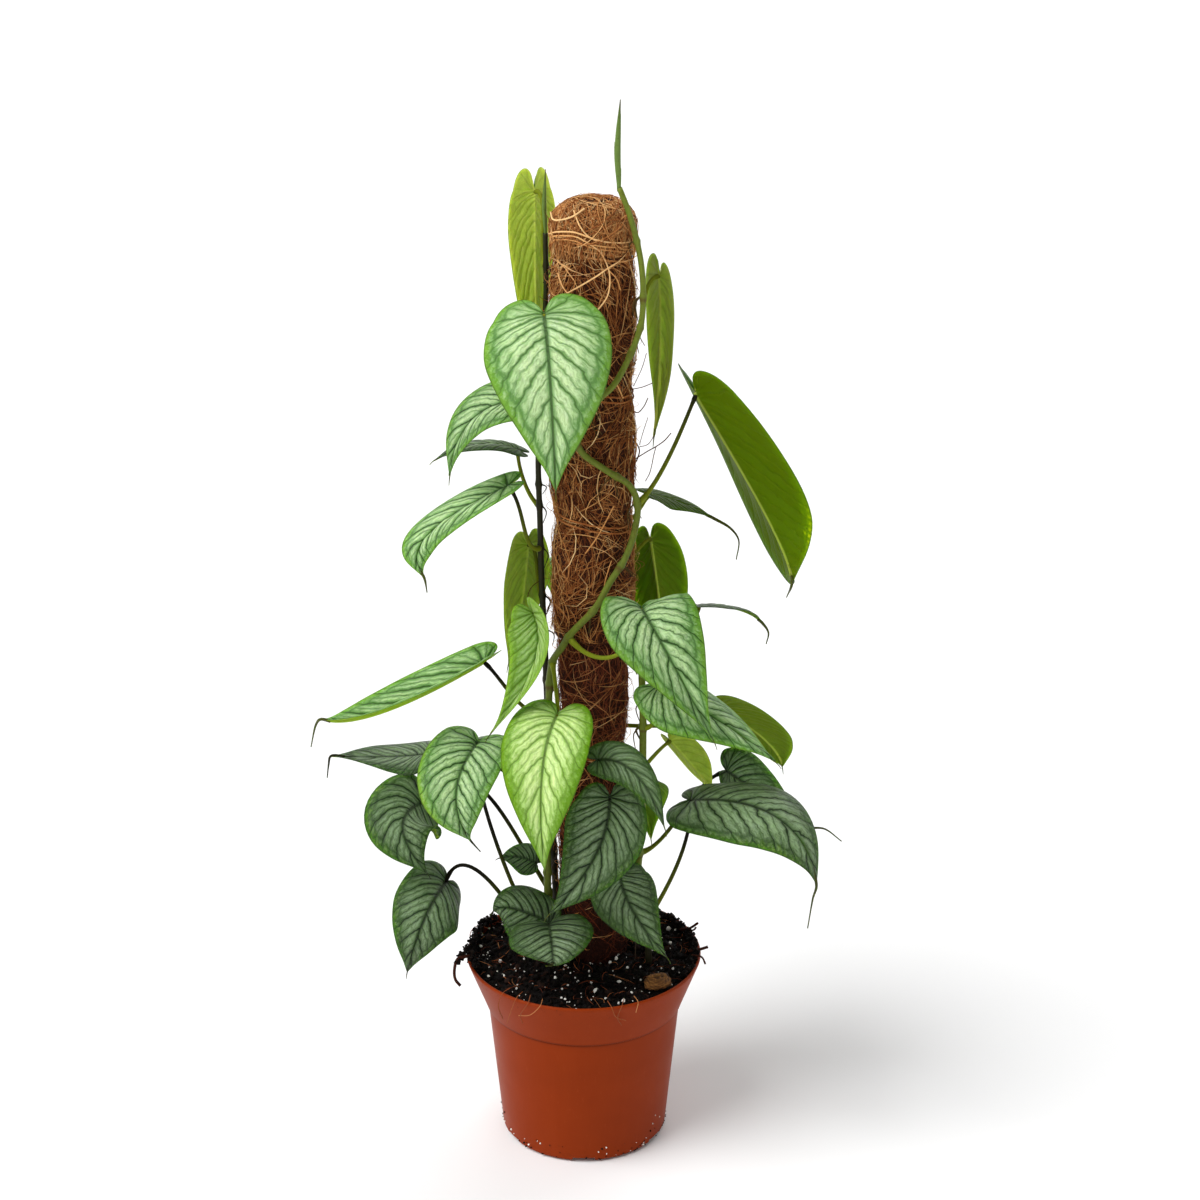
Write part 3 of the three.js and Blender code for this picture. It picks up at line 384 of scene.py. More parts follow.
# Meshes
def make_mesh(name, points, faces, slot, material, looks, smooth=True, node=None):
    """A piece from points in millimetres and a list of arrays of faces with three or four corners."""
    mesh = bpy.data.meshes.new(name)
    points = np.asarray(points, float).reshape(-1, 3) * MM
    mesh.vertices.add(len(points))
    mesh.vertices.foreach_set("co", points.ravel())
    groups = [np.asarray(f, np.int32) for f in faces]
    corners = np.concatenate([g.ravel() for g in groups])
    sizes = np.concatenate([np.full(len(g), g.shape[1], np.int32) for g in groups])
    mesh.loops.add(len(corners))
    mesh.loops.foreach_set("vertex_index", corners)
    mesh.polygons.add(len(sizes))
    mesh.polygons.foreach_set("loop_start", np.concatenate([[0], np.cumsum(sizes)[:-1]]).astype(np.int32))
    mesh.polygons.foreach_set("use_smooth", np.full(len(sizes), smooth))
    for key, values in looks.items():
        values = np.asarray(values, np.float32)
        kind = "FLOAT_VECTOR" if values.ndim == 2 else "FLOAT"
        layer = mesh.attributes.new(key, kind, "POINT")
        layer.data.foreach_set("vector" if values.ndim == 2 else "value", values.ravel())
    mesh.update(calc_edges=True)
    mesh.validate()
    piece = bpy.data.objects.new(name, mesh)
    bpy.context.scene.collection.objects.link(piece)
    mesh.materials.append(material)
    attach(piece, "root")
    if node:
        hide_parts(node)
    return piece


def weld(piece):
    """Joins points that lie on each other and turns the faces outwards."""
    form = bmesh.new()
    form.from_mesh(piece.data)
    bmesh.ops.remove_doubles(form, verts=form.verts, dist=WELD_DISTANCE * MM)
    bmesh.ops.dissolve_degenerate(form, dist=WELD_DISTANCE * MM, edges=form.edges)
    bmesh.ops.recalc_face_normals(form, faces=form.faces)
    form.to_mesh(piece.data)
    form.free()
    piece.data.update()
    return piece


def ring_faces(rows, turns, downward=False):
    """Quads between rows of points round an axis, and fans to the two end points that follow them."""
    ids = np.arange(rows * turns).reshape(rows, turns)
    nxt = np.roll(ids, -1, axis=1)
    if downward:
        ids, nxt = nxt, ids
    quads = np.stack([ids[:-1], nxt[:-1], nxt[1:], ids[1:]], axis=-1).reshape(-1, 4)
    if downward:
        quads = np.roll(quads, -1, axis=1)
    first, last = rows * turns, rows * turns + 1
    fans = [[first, nxt[0, k], ids[0, k]] for k in range(turns)]
    fans += [[last, ids[-1, k], nxt[-1, k]] for k in range(turns)]
    return quads, fans


class Parts:
    """Collects points, faces and looks for one mesh."""

    def __init__(self):
        self.points, self.quads, self.triangles = [], [], []
        self.looks, self.count = {}, 0

    def add(self, points, quads=(), triangles=(), **looks):
        points = np.asarray(points, float).reshape(-1, 3)
        if len(quads):
            self.quads.append(np.asarray(quads).reshape(-1, 4) + self.count)
        if len(triangles):
            self.triangles.append(np.asarray(triangles).reshape(-1, 3) + self.count)
        for key, values in looks.items():
            values = np.asarray(values, float)
            if values.ndim == 0 or values.shape[0] != len(points):
                values = np.broadcast_to(values, (len(points),) + values.shape)
            self.looks.setdefault(key, []).append(values)
        self.points.append(points)
        self.count += len(points)

    def build(self, name, slot, material, **options):
        faces = [np.concatenate(f) for f in (self.quads, self.triangles) if f]
        looks = {key: np.concatenate(v) for key, v in self.looks.items()}
        return make_mesh(name, np.concatenate(self.points), faces, slot, material, looks, **options)


# Curves
ASIDE = vec(0.31, 0.17, 0.93)
STRAND_ASIDE = vec(0.2, 0.3, 0.93)


def centripetal(points, samples=24):
    """Points along a centripetal Catmull-Rom curve."""
    p = np.asarray(points, float)
    p = np.vstack([2 * p[0] - p[1], p, 2 * p[-1] - p[-2]])
    out = []
    for i in range(1, len(p) - 2):
        a, b, c, d = p[i - 1:i + 3]
        d0, d1, d2 = (max(np.linalg.norm(v), 1e-6) ** 0.5 for v in (b - a, c - b, d - c))
        m1 = ((b - a) / d0 - (c - a) / (d0 + d1) + (c - b) / d1) * d1
        m2 = ((c - b) / d1 - (d - b) / (d1 + d2) + (d - c) / d2) * d1
        t = np.linspace(0, 1, samples, endpoint=False)[:, None]
        out.append(b + m1 * t + (3 * (c - b) - 2 * m1 - m2) * t ** 2 + (2 * (b - c) + m1 + m2) * t ** 3)
    return np.vstack(out + [p[-2:-1]])


def spaced(points, count):
    """The same curve at equal distances."""
    lengths = np.concatenate([[0], np.cumsum(np.linalg.norm(np.diff(points, axis=0), axis=1))])
    at = np.linspace(0, lengths[-1], count)
    return np.stack([np.interp(at, lengths, points[:, k]) for k in range(3)], axis=1)


def bezier(a, b, c, d, count):
    """Points along a cubic curve."""
    t = np.linspace(0, 1, count)[:, None]
    return (1 - t) ** 3 * a + 3 * (1 - t) ** 2 * t * b + 3 * (1 - t) * t * t * c + t ** 3 * d


def tube(path, radii, sides=10):
    """Points, quads and end fans of a tube along a path, and how far along it each point is."""
    path = np.asarray(path, float)
    count = len(path)
    radii = np.broadcast_to(radii, (count,))
    along = unit(np.gradient(path, axis=0))
    out = np.zeros_like(path)
    out[0] = unit(np.cross(along[0], ASIDE))
    for i in range(1, count):
        out[i] = unit(out[i - 1] - along[i] * np.dot(out[i - 1], along[i]))
    over = np.cross(along, out)
    angle = np.linspace(0, 2 * np.pi, sides, endpoint=False)
    ring = out[:, None] * np.cos(angle)[None, :, None] + over[:, None] * np.sin(angle)[None, :, None]
    points = path[:, None] + ring * radii[:, None, None]
    points = np.vstack([points.reshape(-1, 3), path[:1], path[-1:]])
    quads, fans = ring_faces(count, sides)
    share = np.concatenate([np.repeat(np.linspace(0, 1, count), sides), [0, 1]])
    return points, quads, fans, share


def strands(paths, radius):
    """Many thin three-sided strands at once; paths is strands x points x 3, radius one per strand."""
    count, steps = paths.shape[:2]
    along = unit(np.gradient(paths, axis=1))
    away = unit(np.cross(along, STRAND_ASIDE))
    over = np.cross(along, away)
    angle = np.arange(3) * 2 * np.pi / 3
    taper = 1 - 0.75 * np.abs(np.linspace(-1, 1, steps)) ** 3
    thick = radius[:, None] * taper[None]
    ring = away[:, :, None] * np.cos(angle)[:, None] + over[:, :, None] * np.sin(angle)[:, None]
    points = paths[:, :, None] + ring * thick[:, :, None, None]
    ids = np.arange(count * steps * 3).reshape(count, steps, 3)
    nxt = np.roll(ids, -1, axis=2)
    quads = np.stack([ids[:, :-1], nxt[:, :-1], nxt[:, 1:], ids[:, 1:]], axis=-1).reshape(-1, 4)
    ends = np.concatenate([ids[:, 0, ::-1], ids[:, -1]])
    return points.reshape(-1, 3), quads, ends


# Leaves
def outline_at(rows):
    """Foot on the midrib, margin along and across, and veins counted, for row positions from 0 to 1."""
    curve = centripetal([(a, b, 0) for a, b in OUTLINE], 24)[:, :2]
    position = np.linspace(0, 1, len(curve))
    knots = np.linspace(0, 1, len(RIB_FOOT))
    foot = centripetal([(k, f, c / VEIN_COUNT[-1]) for k, f, c in zip(knots, RIB_FOOT, VEIN_COUNT)], 24)
    count = VEIN_COUNT[-1] * np.interp(rows, foot[:, 0], foot[:, 2])
    foot = np.interp(rows, foot[:, 0], foot[:, 1])
    return foot, np.interp(rows, position, curve[:, 0]), np.interp(rows, position, curve[:, 1]), count


class Blade:
    """The curved surface of one leaf blade."""

    def __init__(self, joint, middle, tip, width, face, fold, cup):
        self.joint, self.tip = vec(*joint), vec(*tip)
        self.handle = 2 * vec(*middle) - (self.joint + self.tip) / 2
        side, up = (math.radians(v) for v in face)
        self.face = vec(math.sin(side) * math.cos(up), -math.cos(side) * math.cos(up), math.sin(up))
        self.width = width
        self.fold, self.cup = math.radians(fold), math.radians(cup)
        line = self.rib(np.linspace(0, 1, 200))
        self.length = np.linalg.norm(np.diff(line, axis=0), axis=1).sum()

    def rib(self, t):
        """Places on the midrib."""
        t = np.asarray(t, float)[..., None]
        return (1 - t) ** 2 * self.joint + 2 * t * (1 - t) * self.handle + t * t * self.tip

    def forward(self, t):
        """Direction of the midrib."""
        t = np.asarray(t, float)[..., None]
        return unit((1 - t) * (self.handle - self.joint) + t * (self.tip - self.handle))

    def axes(self, t):
        """Forward, sideways and out of the upper side, at places on the midrib."""
        forward = self.forward(t)
        over = unit(np.cross(forward, self.face))
        return forward, over, np.cross(over, forward)

    def surface(self, along, across, side):
        """Places on the blade, folded at the midrib and cupped towards its margin."""
        t = np.maximum(along, 0)
        forward, over, up = self.axes(t)
        centre = self.rib(t) + forward * (np.minimum(along, 0) * self.length)[..., None]
        bend = self.fold - self.cup * across
        out = (math.sin(self.fold) - np.sin(bend)) / self.cup
        lift = (np.cos(bend) - math.cos(self.fold)) / self.cup
        lift = lift + BLADE_RIPPLE * across ** 2 * np.sin(9 * along + side)
        half = self.width / 2
        return centre + over * (side * out * half)[..., None] + up * (lift * half)[..., None]


def blade_normals(blade, points, along, share, side):
    """Directions out of the upper side, taken from the blade's axes near the midrib."""
    down = np.gradient(points, axis=0)
    right = np.gradient(points, axis=1)
    normal = unit(np.cross(down, right)) * side
    ups = blade.axes(np.maximum(along, 0))[2]
    flip = np.sign((normal * ups).sum(-1, keepdims=True))
    normal = normal * np.where(flip == 0, 1, flip)
    blend = ease(0, 0.12, share)[None, :, None]
    return unit(normal * blend + ups * (1 - blend) + 1e-6)


def vein_pitch(blade, along, across, count):
    """Distance in millimetres from one side vein to the next, measured square to them."""
    grid = np.stack([along, across], axis=-1) * vec(blade.length, blade.width / 2)
    by_row = np.gradient(grid, axis=0)
    by_share = unit(np.gradient(grid, axis=1))
    pitch = np.abs(by_row[..., 0] * by_share[..., 1] - by_row[..., 1] * by_share[..., 0])
    return np.clip(pitch / np.maximum(np.gradient(count)[:, None], 1e-4), 0.3, 30)


def blade_half(parts, blade, seed, side, waves):
    """Both faces of one half of the blade: veins sunk between quilted fields, closed at the margin."""
    rows = np.linspace(0, 1, BLADE_ROWS + 1)
    rows = 0.5 - 0.5 * np.cos(np.pi * (0.04 + 0.92 * rows))
    rows = (rows - rows[0]) / (rows[-1] - rows[0])
    foot, end_along, end_across, count = outline_at(rows)
    share = np.linspace(0, 1, BLADE_COLUMNS + 1) ** 1.25
    along = ramp(foot[:, None], end_along[:, None], (share ** 1.35)[None])
    across = end_across[:, None] * share[None]
    edge_wave = 1 + MARGIN_WAVE * np.sin(19 * rows + waves[0] + side) * (np.abs(rows - 0.5) < 0.45)
    points = blade.surface(along, across * edge_wave[:, None], side)
    normal = blade_normals(blade, points, along, share, side)
    pitch = vein_pitch(blade, along, across, count)

    size = min(1.0, blade.length / 70)
    vein = count[:, None] + 0 * share[None] + VEIN_SHIFT * side
    bell = ease(0.02, 0.2, share) * (1 - ease(0.72, 0.95, share))
    fields = 0.5 - 0.5 * np.cos(2 * np.pi * vein)
    relief = QUILT * size * (fields * bell[None] - 0.5 * (1 - ease(0, 0.1, share))[None])
    swell = np.sin(7 * rows[:, None] + waves[1]) * np.sin(2.6 * share[None] + waves[2])
    relief = relief + BLADE_SWELL * blade.width * swell * bell[None]
    thick = BLADE_THICKNESS * (1 - 0.65 * ease(0.75, 1, share))[None, :] * np.ones_like(relief)
    rib = MIDRIB_DEPTH * size * (1 - 0.7 * foot)[:, None] * (1 - ease(0.0, 0.07, share))[None]
    upper = points + normal * (thick / 2 + relief)[..., None]
    lower = points - normal * (thick / 2 - relief + rib)[..., None]

    below = relief.size
    ids = np.arange(below).reshape(relief.shape)
    quads = np.stack([ids[:-1, :-1], ids[1:, :-1], ids[1:, 1:], ids[:-1, 1:]], axis=-1).reshape(-1, 4)
    edge = np.stack([ids[:-1, -1], ids[1:, -1], ids[1:, -1] + below, ids[:-1, -1] + below], axis=-1)
    quads = np.vstack([quads, quads[:, ::-1] + below, edge])
    if side < 0:
        quads = quads[:, ::-1]
    out_mm = across * blade.width / 2
    veins = np.stack([vein, np.broadcast_to(share, vein.shape), out_mm], axis=-1)
    flat = np.stack([side * out_mm, along * blade.length, np.full_like(out_mm, 37.0 * seed)], axis=-1)
    parts.add(np.vstack([upper.reshape(-1, 3), lower.reshape(-1, 3)]), quads,
              vein=np.tile(veins.reshape(-1, 3), (2, 1)), flat=np.tile(flat.reshape(-1, 3), (2, 1)),
              pitch=np.tile(pitch.ravel(), 2), face=np.repeat([1.0, 0.0], below), stalk=0.0)


def blade_tip(parts, blade, tail):
    """The midrib's end: a long tail where the leaf has one, or a short drip tip that hangs."""
    if tail:
        path = spaced(centripetal([blade.rib(0.9), blade.tip] + [vec(*p) for p in tail]), 22)
        radii = ramp(*TAIL_RADII, ease(0, 1, np.linspace(0, 1, len(path))))
    else:
        forward = blade.forward(1.0)
        hang = unit(forward + vec(0, 0, -0.8))
        reach = 0.045 * blade.length + 1.5
        path = bezier(blade.rib(0.95), blade.tip, blade.tip + forward * reach * 0.5,
                      blade.tip + forward * reach * 0.45 + hang * reach * 0.6, 9)
        radii = ramp(*DRIP_TIP_RADII, np.linspace(0, 1, len(path)))
    points, quads, fans, _ = tube(path, radii, 7)
    parts.add(points, quads, fans, vein=vec(1, 1, 0.3), flat=points, pitch=1.0, face=0.5, stalk=1.0)


VINE_LINES = {name: spaced(centripetal(line), 260) for name, (_, line) in VINES.items()}


def vine_place(name, height):
    """Point, direction and radius of a vine at a height."""
    line = VINE_LINES[name]
    k = int(np.argmax(line[:, 2] >= height))
    along = unit(line[min(k + 1, len(line) - 1)] - line[k - 1])
    return line[k], along, ramp(*VINES[name][0], k / (len(line) - 1))


def petiole_path(blade, vine, at, bends):
    """From inside the vine to the midrib's foot, through its bends where the leaf gives them."""
    point, along, radius = vine_place(vine, at)
    aim = vec(*bends["out"]) if "out" in bends else blade.joint
    away = unit((aim - point) - along * np.dot(aim - point, along))
    start = point + away * radius * 0.5
    forward, _, up = blade.axes(0.0)
    reach = np.linalg.norm(blade.joint - start)
    out = start + away * PETIOLE_BEND * reach
    into = blade.joint - up * PETIOLE_BEND * reach - forward * PETIOLE_SET_BACK * reach
    out, into = vec(*bends.get("out", out)), vec(*bends.get("into", into))
    return bezier(start, out, into, blade.joint + forward * PETIOLE_SEAT, 26)


def make_leaf(name, seed, joint, middle, tip, width, face, fold, cup, vine, at, kind, bends=None):
    """Blade, tip and petiole of one leaf, welded into one piece."""
    blade = Blade(joint, middle, tip, width, face, fold, cup)
    parts = Parts()
    bends = bends or {}
    waves = np.random.default_rng(seed).uniform(0, 2 * np.pi, 3)
    for side in (-1, 1):
        blade_half(parts, blade, seed, side, waves)
    blade_tip(parts, blade, bends.get("tail"))
    path = petiole_path(blade, vine, at, bends)
    t = np.linspace(0, 1, len(path))
    low_swell, high_swell = PETIOLE_SWELLS
    swell = 1 + high_swell * np.exp(-((t - 0.94) / 0.05) ** 2) + low_swell * np.exp(-(t / 0.09) ** 2)
    points, quads, fans, share = tube(path, ramp(*PETIOLE_RADII, t) * swell, 10)
    parts.add(points, quads, fans, vein=np.stack([share, 0 * share, 0 * share], axis=1),
              flat=points, pitch=1.0, face=0.0, stalk=1.0)
    tone, stalk_tone, plain = (*LEAF_TONES.get(name, USUAL_TONES), 0.0)[:3]
    parts.looks["tone"] = [np.full(parts.count, tone)]
    parts.looks["plain"] = [np.full(parts.count, plain)]
    dark = np.full(parts.count, max(stalk_tone, 0.75))
    dark[-len(points):] = np.clip(1.6 * stalk_tone - 1 + share, 0, 1)
    parts.looks["stalk_tone"] = [dark]
    piece = parts.build("plant_" + name, LEAF_SLOTS[kind], LEAF_MATERIALS[kind], node=name)
    return weld(piece)


# Materials
def colour(r, g, b):
    """Scene-linear colour from 0-255 display values."""
    shares = [v / 255 for v in (r, g, b)]
    return tuple([v / 12.92 if v <= 0.04045 else ((v + 0.055) / 1.055) ** 2.4 for v in shares] + [1.0])


class Shade:
    """A procedural material, and short ways to add its nodes."""

    def __init__(self, name, roughness=0.6, specular=0.4, **settings):
        self.material = bpy.data.materials.new(name)
        self.material.use_nodes = True
        self.tree = self.material.node_tree
        self.shader = self.tree.nodes["Principled BSDF"]
        self.shader.inputs["Roughness"].default_value = roughness
        self.shader.inputs["Specular IOR Level"].default_value = specular
        for key, value in settings.items():
            self.shader.inputs[key.replace("_", " ")].default_value = value

    def node(self, kind, inputs=(), **settings):
        """A new node; inputs are values or links from other nodes."""
        node = self.tree.nodes.new(kind)
        for key, value in settings.items():
            setattr(node, key, value)
        for key, value in dict(inputs).items():
            self.put(node.inputs[key], value)
        return node

    def put(self, socket, value):
        if isinstance(value, bpy.types.NodeSocket):
            self.tree.links.new(value, socket)
        else:
            socket.default_value = value

    def look(self, name, part="Fac"):
        """A value that the mesh carries at each point."""
        return self.node("ShaderNodeAttribute", attribute_name=name).outputs[part]

    def place(self, stretch=(1, 1, 1)):
        """Position on the object in millimetres, stretched."""
        where = self.node("ShaderNodeTexCoord").outputs["Object"]
        scale = tuple(1000 * s for s in stretch)
        return self.node("ShaderNodeVectorMath", {0: where, 1: scale}, operation="MULTIPLY").outputs[0]

    def split(self, vector):
        return self.node("ShaderNodeSeparateXYZ", {0: vector}).outputs

    def join(self, x, y, z):
        return self.node("ShaderNodeCombineXYZ", {0: x, 1: y, 2: z}).outputs[0]

    def sum(self, operation, a, b=0.0, c=0.0):
        return self.node("ShaderNodeMath", {0: a, 1: b, 2: c}, operation=operation).outputs[0]

    def noise(self, vector, scale=1.0, detail=4.0, rough=0.55):
        inputs = {"Vector": vector, "Scale": scale, "Detail": detail, "Roughness": rough}
        return self.node("ShaderNodeTexNoise", inputs).outputs["Fac"]

    def cells(self, vector):
        """Distance to the edge of irregular cells."""
        inputs = {"Vector": vector, "Scale": 1.0}
        return self.node("ShaderNodeTexVoronoi", inputs, feature="DISTANCE_TO_EDGE").outputs["Distance"]

    def band(self, value, start, end, low=0.0, high=1.0):
        """Eased step of value from start to end, as low to high."""
        inputs = {"Value": value, 1: start, 2: end, 3: low, 4: high}
        return self.node("ShaderNodeMapRange", inputs, interpolation_type="SMOOTHSTEP").outputs[0]

    def mix(self, share, a, b):
        """Colour from a to b by share."""
        node = self.node("ShaderNodeMix", data_type="RGBA")
        self.put(node.inputs[0], share)
        self.put(node.inputs[6], a)
        self.put(node.inputs[7], b)
        return node.outputs[2]

    def stops(self, value, colours):
        """Colour ramp over value."""
        node = self.node("ShaderNodeValToRGB", {0: value})
        parts = node.color_ramp.elements
        while len(parts) < len(colours):
            parts.new(0.5)
        for part, (at, tint) in zip(parts, colours):
            part.position, part.color = at, tint
        return node.outputs[0]

    def finish(self, base, height=None, distance=0.3, strength=1.0, roughness=None):
        """Joins colour, bump in millimetres and roughness to the shader."""
        self.put(self.shader.inputs["Base Color"], base)
        if roughness is not None:
            self.put(self.shader.inputs["Roughness"], roughness)
        if height is not None:
            inputs = {"Height": height, "Distance": distance * MM, "Strength": strength}
            bump = self.node("ShaderNodeBump", inputs)
            self.put(self.shader.inputs["Normal"], bump.outputs[0])
        return self.material


class Veins:
    """Masks of a leaf's veins, each from 0 to 1, made from what its mesh carries."""

    def __init__(self, s):
        self.count, self.u, self.out = s.split(s.look("vein", "Vector"))
        self.flat = s.look("flat", "Vector")
        self.pitch = s.look("pitch")
        self.seed = s.split(self.flat)[2]
        drift = s.sum("SUBTRACT", s.noise(self.flat, 0.13, 2), 0.5)
        sway = s.sum("SUBTRACT", s.noise(self.flat, 0.3, 2), 0.5)
        self.ripple = s.sum("SUBTRACT", s.noise(self.flat, 0.6, 3), 0.5)
        bent = s.sum("MULTIPLY_ADD", drift, VEIN_DRIFT, s.sum("MULTIPLY_ADD", sway, VEIN_SWAY, self.count))
        self.bent = s.sum("MULTIPLY_ADD", self.ripple, VEIN_RIPPLE, bent)
        self.main_gap = self.gap_to(s, 1.0)
        self.half_gap = self.gap_to(s, 2.0)
        reach = s.sum("MULTIPLY_ADD", s.sum("SUBTRACT", 1.0, self.u), 0.26, 0.2)
        self.main = s.band(s.sum("DIVIDE", self.main_gap, reach), 0.5, 1.5, 1.0, 0.0)
        self.half = s.band(s.sum("DIVIDE", self.half_gap, reach), 0.15, 0.85, 1.0, 0.0)
        # the line that joins the side veins inside the margin
        arch = s.sum("ABSOLUTE", s.sum("SUBTRACT", s.sum("FRACT", self.bent), 0.5))
        ring_at = s.sum("MULTIPLY_ADD", s.sum("MULTIPLY", arch, arch), -0.28, 0.85)
        ring_gap = s.sum("SUBTRACT", s.sum("MULTIPLY_ADD", self.ripple, 0.1, self.u), ring_at)
        self.ring_gap = s.sum("ABSOLUTE", ring_gap)
        self.ring = s.band(self.ring_gap, 0.006, 0.03, 1.0, 0.0)
        rib_reach = s.sum("MULTIPLY_ADD", s.band(self.count, 3.0, 12.0, 1.0, 0.0), 0.55, 0.3)
        self.midrib = s.band(s.sum("DIVIDE", self.out, rib_reach), 0.55, 1.35, 1.0, 0.0)
        net_across = s.sum("MULTIPLY_ADD", self.ripple, 1.3, s.sum("MULTIPLY", self.u, 11.0))
        net_place = s.join(s.sum("MULTIPLY", self.bent, 3.1), net_across, self.seed)
        self.net = s.band(s.cells(net_place), 0.01, 0.14, 1.0, 0.0)

    def gap_to(self, s, lines):
        """Distance in millimetres to the nearest of so many lines for each side vein."""
        at = s.sum("FRACT", s.sum("MULTIPLY_ADD", self.bent, lines, 0.5))
        off = s.sum("ABSOLUTE", s.sum("SUBTRACT", at, 0.5))
        return s.sum("MULTIPLY", off, s.sum("DIVIDE", self.pitch, lines))

    def drawn(self, s):
        """All the veins that show on the upper side, but for the midrib."""
        thin = s.sum("MULTIPLY", self.half, s.band(s.noise(self.flat, 0.2, 2), 0.35, 0.6, 0.25, 0.75))
        cross = s.band(s.noise(self.flat, 0.3, 2), 0.38, 0.62)
        lines = s.sum("MAXIMUM", self.main, thin)
        lines = s.sum("MAXIMUM", lines, s.sum("MULTIPLY", self.ring, 0.45))
        return s.sum("MAXIMUM", lines, s.sum("MULTIPLY", s.sum("MULTIPLY", self.net, cross), 0.38))

    def halo(self, s):
        """Green that spreads beside the veins."""
        half_halo = s.band(self.half_gap, 0.05, 0.95, 1.0, 0.0)
        halo = s.sum("MAXIMUM", s.band(self.main_gap, 0.2, 1.9, 1.0, 0.0), s.sum("MULTIPLY", half_halo, 0.7))
        halo = s.sum("MAXIMUM", halo, s.band(self.out, 0.4, 2.8, 1.0, 0.0))
        return s.sum("MAXIMUM", halo, s.band(self.ring_gap, 0.01, 0.08, 1.0, 0.0))


def upper_side(s, veins, drawn, tints, soft, fill_to):
    """Silver fields between green veins, inside a green margin."""
    silver, green, vein, margin = tints
    tone = s.look("tone")
    brush_place = s.join(s.sum("MULTIPLY", veins.bent, 9.0), s.sum("MULTIPLY", veins.u, 7.0), veins.seed)
    brush = s.noise(brush_place, 1.0, 4, 0.65)
    worn = s.sum("MULTIPLY_ADD", s.band(veins.u, 0.5, fill_to), 0.75, s.band(brush, 0.4, 0.72))
    top = s.mix(s.sum("MULTIPLY", worn, 0.62), silver, green)
    top = s.mix(s.sum("MULTIPLY", veins.halo(s), soft), top, green)
    rim = s.band(s.sum("MULTIPLY_ADD", veins.ripple, 0.3, veins.u), fill_to, 0.97)
    top = s.mix(rim, top, margin)
    top = s.mix(s.sum("MULTIPLY", s.band(veins.count, 3.2, 0.4), 0.5), top, margin)
    crisp = s.band(tone, 0.0, 0.3, 0.5, 0.92)
    top = s.mix(s.sum("MULTIPLY", drawn, crisp), top, vein)
    top = s.mix(s.sum("MULTIPLY", veins.midrib, 0.6), top, vein)
    return s.mix(s.sum("MULTIPLY", tone, 0.35), top, vein)


def lower_side(s, veins, mottle, under, under_dark):
    """Plain green, with faint darker veins and a pale midrib."""
    lower = s.mix(s.look("tone"), under, under_dark)
    lower = s.mix(s.sum("MULTIPLY", mottle, 0.5), lower, under_dark)
    faint = s.sum("MAXIMUM", veins.main, s.sum("MULTIPLY", veins.net, 0.4))
    lower = s.mix(s.sum("MULTIPLY", faint, 0.25), lower, under_dark)
    return s.mix(s.sum("MULTIPLY", veins.midrib, 0.45), lower, under)


def leaf_material(name, silver, green, vein, margin, under, under_dark, soft, fill_to):
    """Both sides of a leaf and its petiole."""
    s = Shade(name, Subsurface_Weight=0.6, Subsurface_Scale=MM, Subsurface_Radius=(1.0, 1.4, 0.4))
    veins = Veins(s)
    drawn = veins.drawn(s)
    mottle = s.noise(veins.flat, 0.22, 4)
    top = upper_side(s, veins, drawn, (silver, green, vein, margin), soft, fill_to)
    lower = lower_side(s, veins, mottle, under, under_dark)
    seen_top = s.band(s.look("face"), 0.4, 0.6)
    silvered = s.sum("MULTIPLY", seen_top, s.sum("SUBTRACT", 1.0, s.look("plain")))
    s.put(s.shader.inputs["Specular IOR Level"], s.sum("MULTIPLY_ADD", silvered, 0.16, 0.04))
    blade = s.mix(silvered, lower, top)
    blade = s.mix(s.band(veins.u, 0.97, 1.0, 0.0, 0.7), blade, vein)
    streak = s.noise(s.place((0.5, 0.5, 0.12)), 1.6, 4)
    stem = s.mix(streak, colour(140, 150, 42), colour(100, 112, 22))
    stem = s.mix(s.look("stalk_tone"), stem, colour(24, 22, 14))
    base = s.mix(s.look("stalk"), blade, stem)
    fields = s.band(veins.half_gap, 0.0, 1.3)
    height = s.sum("MULTIPLY_ADD", fields, 0.8, s.sum("MULTIPLY", drawn, -0.5))
    height = s.sum("MULTIPLY_ADD", s.noise(veins.flat, 2.2, 3), 0.2, height)
    rough = s.sum("MULTIPLY_ADD", mottle, 0.16, s.sum("MULTIPLY_ADD", drawn, -0.05, 0.42))
    return s.finish(base, height, 0.4, 0.8, rough)


LEAF_SLOTS = {"silver": "leaf_silver", "slate": "leaf_slate", "lime": "leaf_lime",
              "underside": "leaf_underside_green"}
LEAF_MATERIALS = {
    "silver": leaf_material(
        "leaf_silver", colour(204, 230, 176), colour(96, 144, 68), colour(34, 58, 20), colour(104, 152, 52),
        colour(156, 186, 52), colour(88, 122, 6), 0.85, 0.84),
    "slate": leaf_material(
        "leaf_slate", colour(146, 168, 130), colour(64, 88, 46), colour(17, 31, 10), colour(42, 64, 18),
        colour(110, 138, 34), colour(56, 80, 8), 0.8, 0.82),
    "lime": leaf_material(
        "leaf_lime", colour(208, 232, 158), colour(130, 170, 62), colour(52, 80, 12), colour(98, 142, 16),
        colour(150, 180, 44), colour(90, 126, 8), 0.75, 0.72),
    "underside": leaf_material(
        "leaf_underside_green", colour(160, 192, 130), colour(88, 128, 56), colour(34, 60, 18),
        colour(66, 108, 24), colour(214, 228, 104), colour(84, 106, 2), 0.7, 0.84),
}


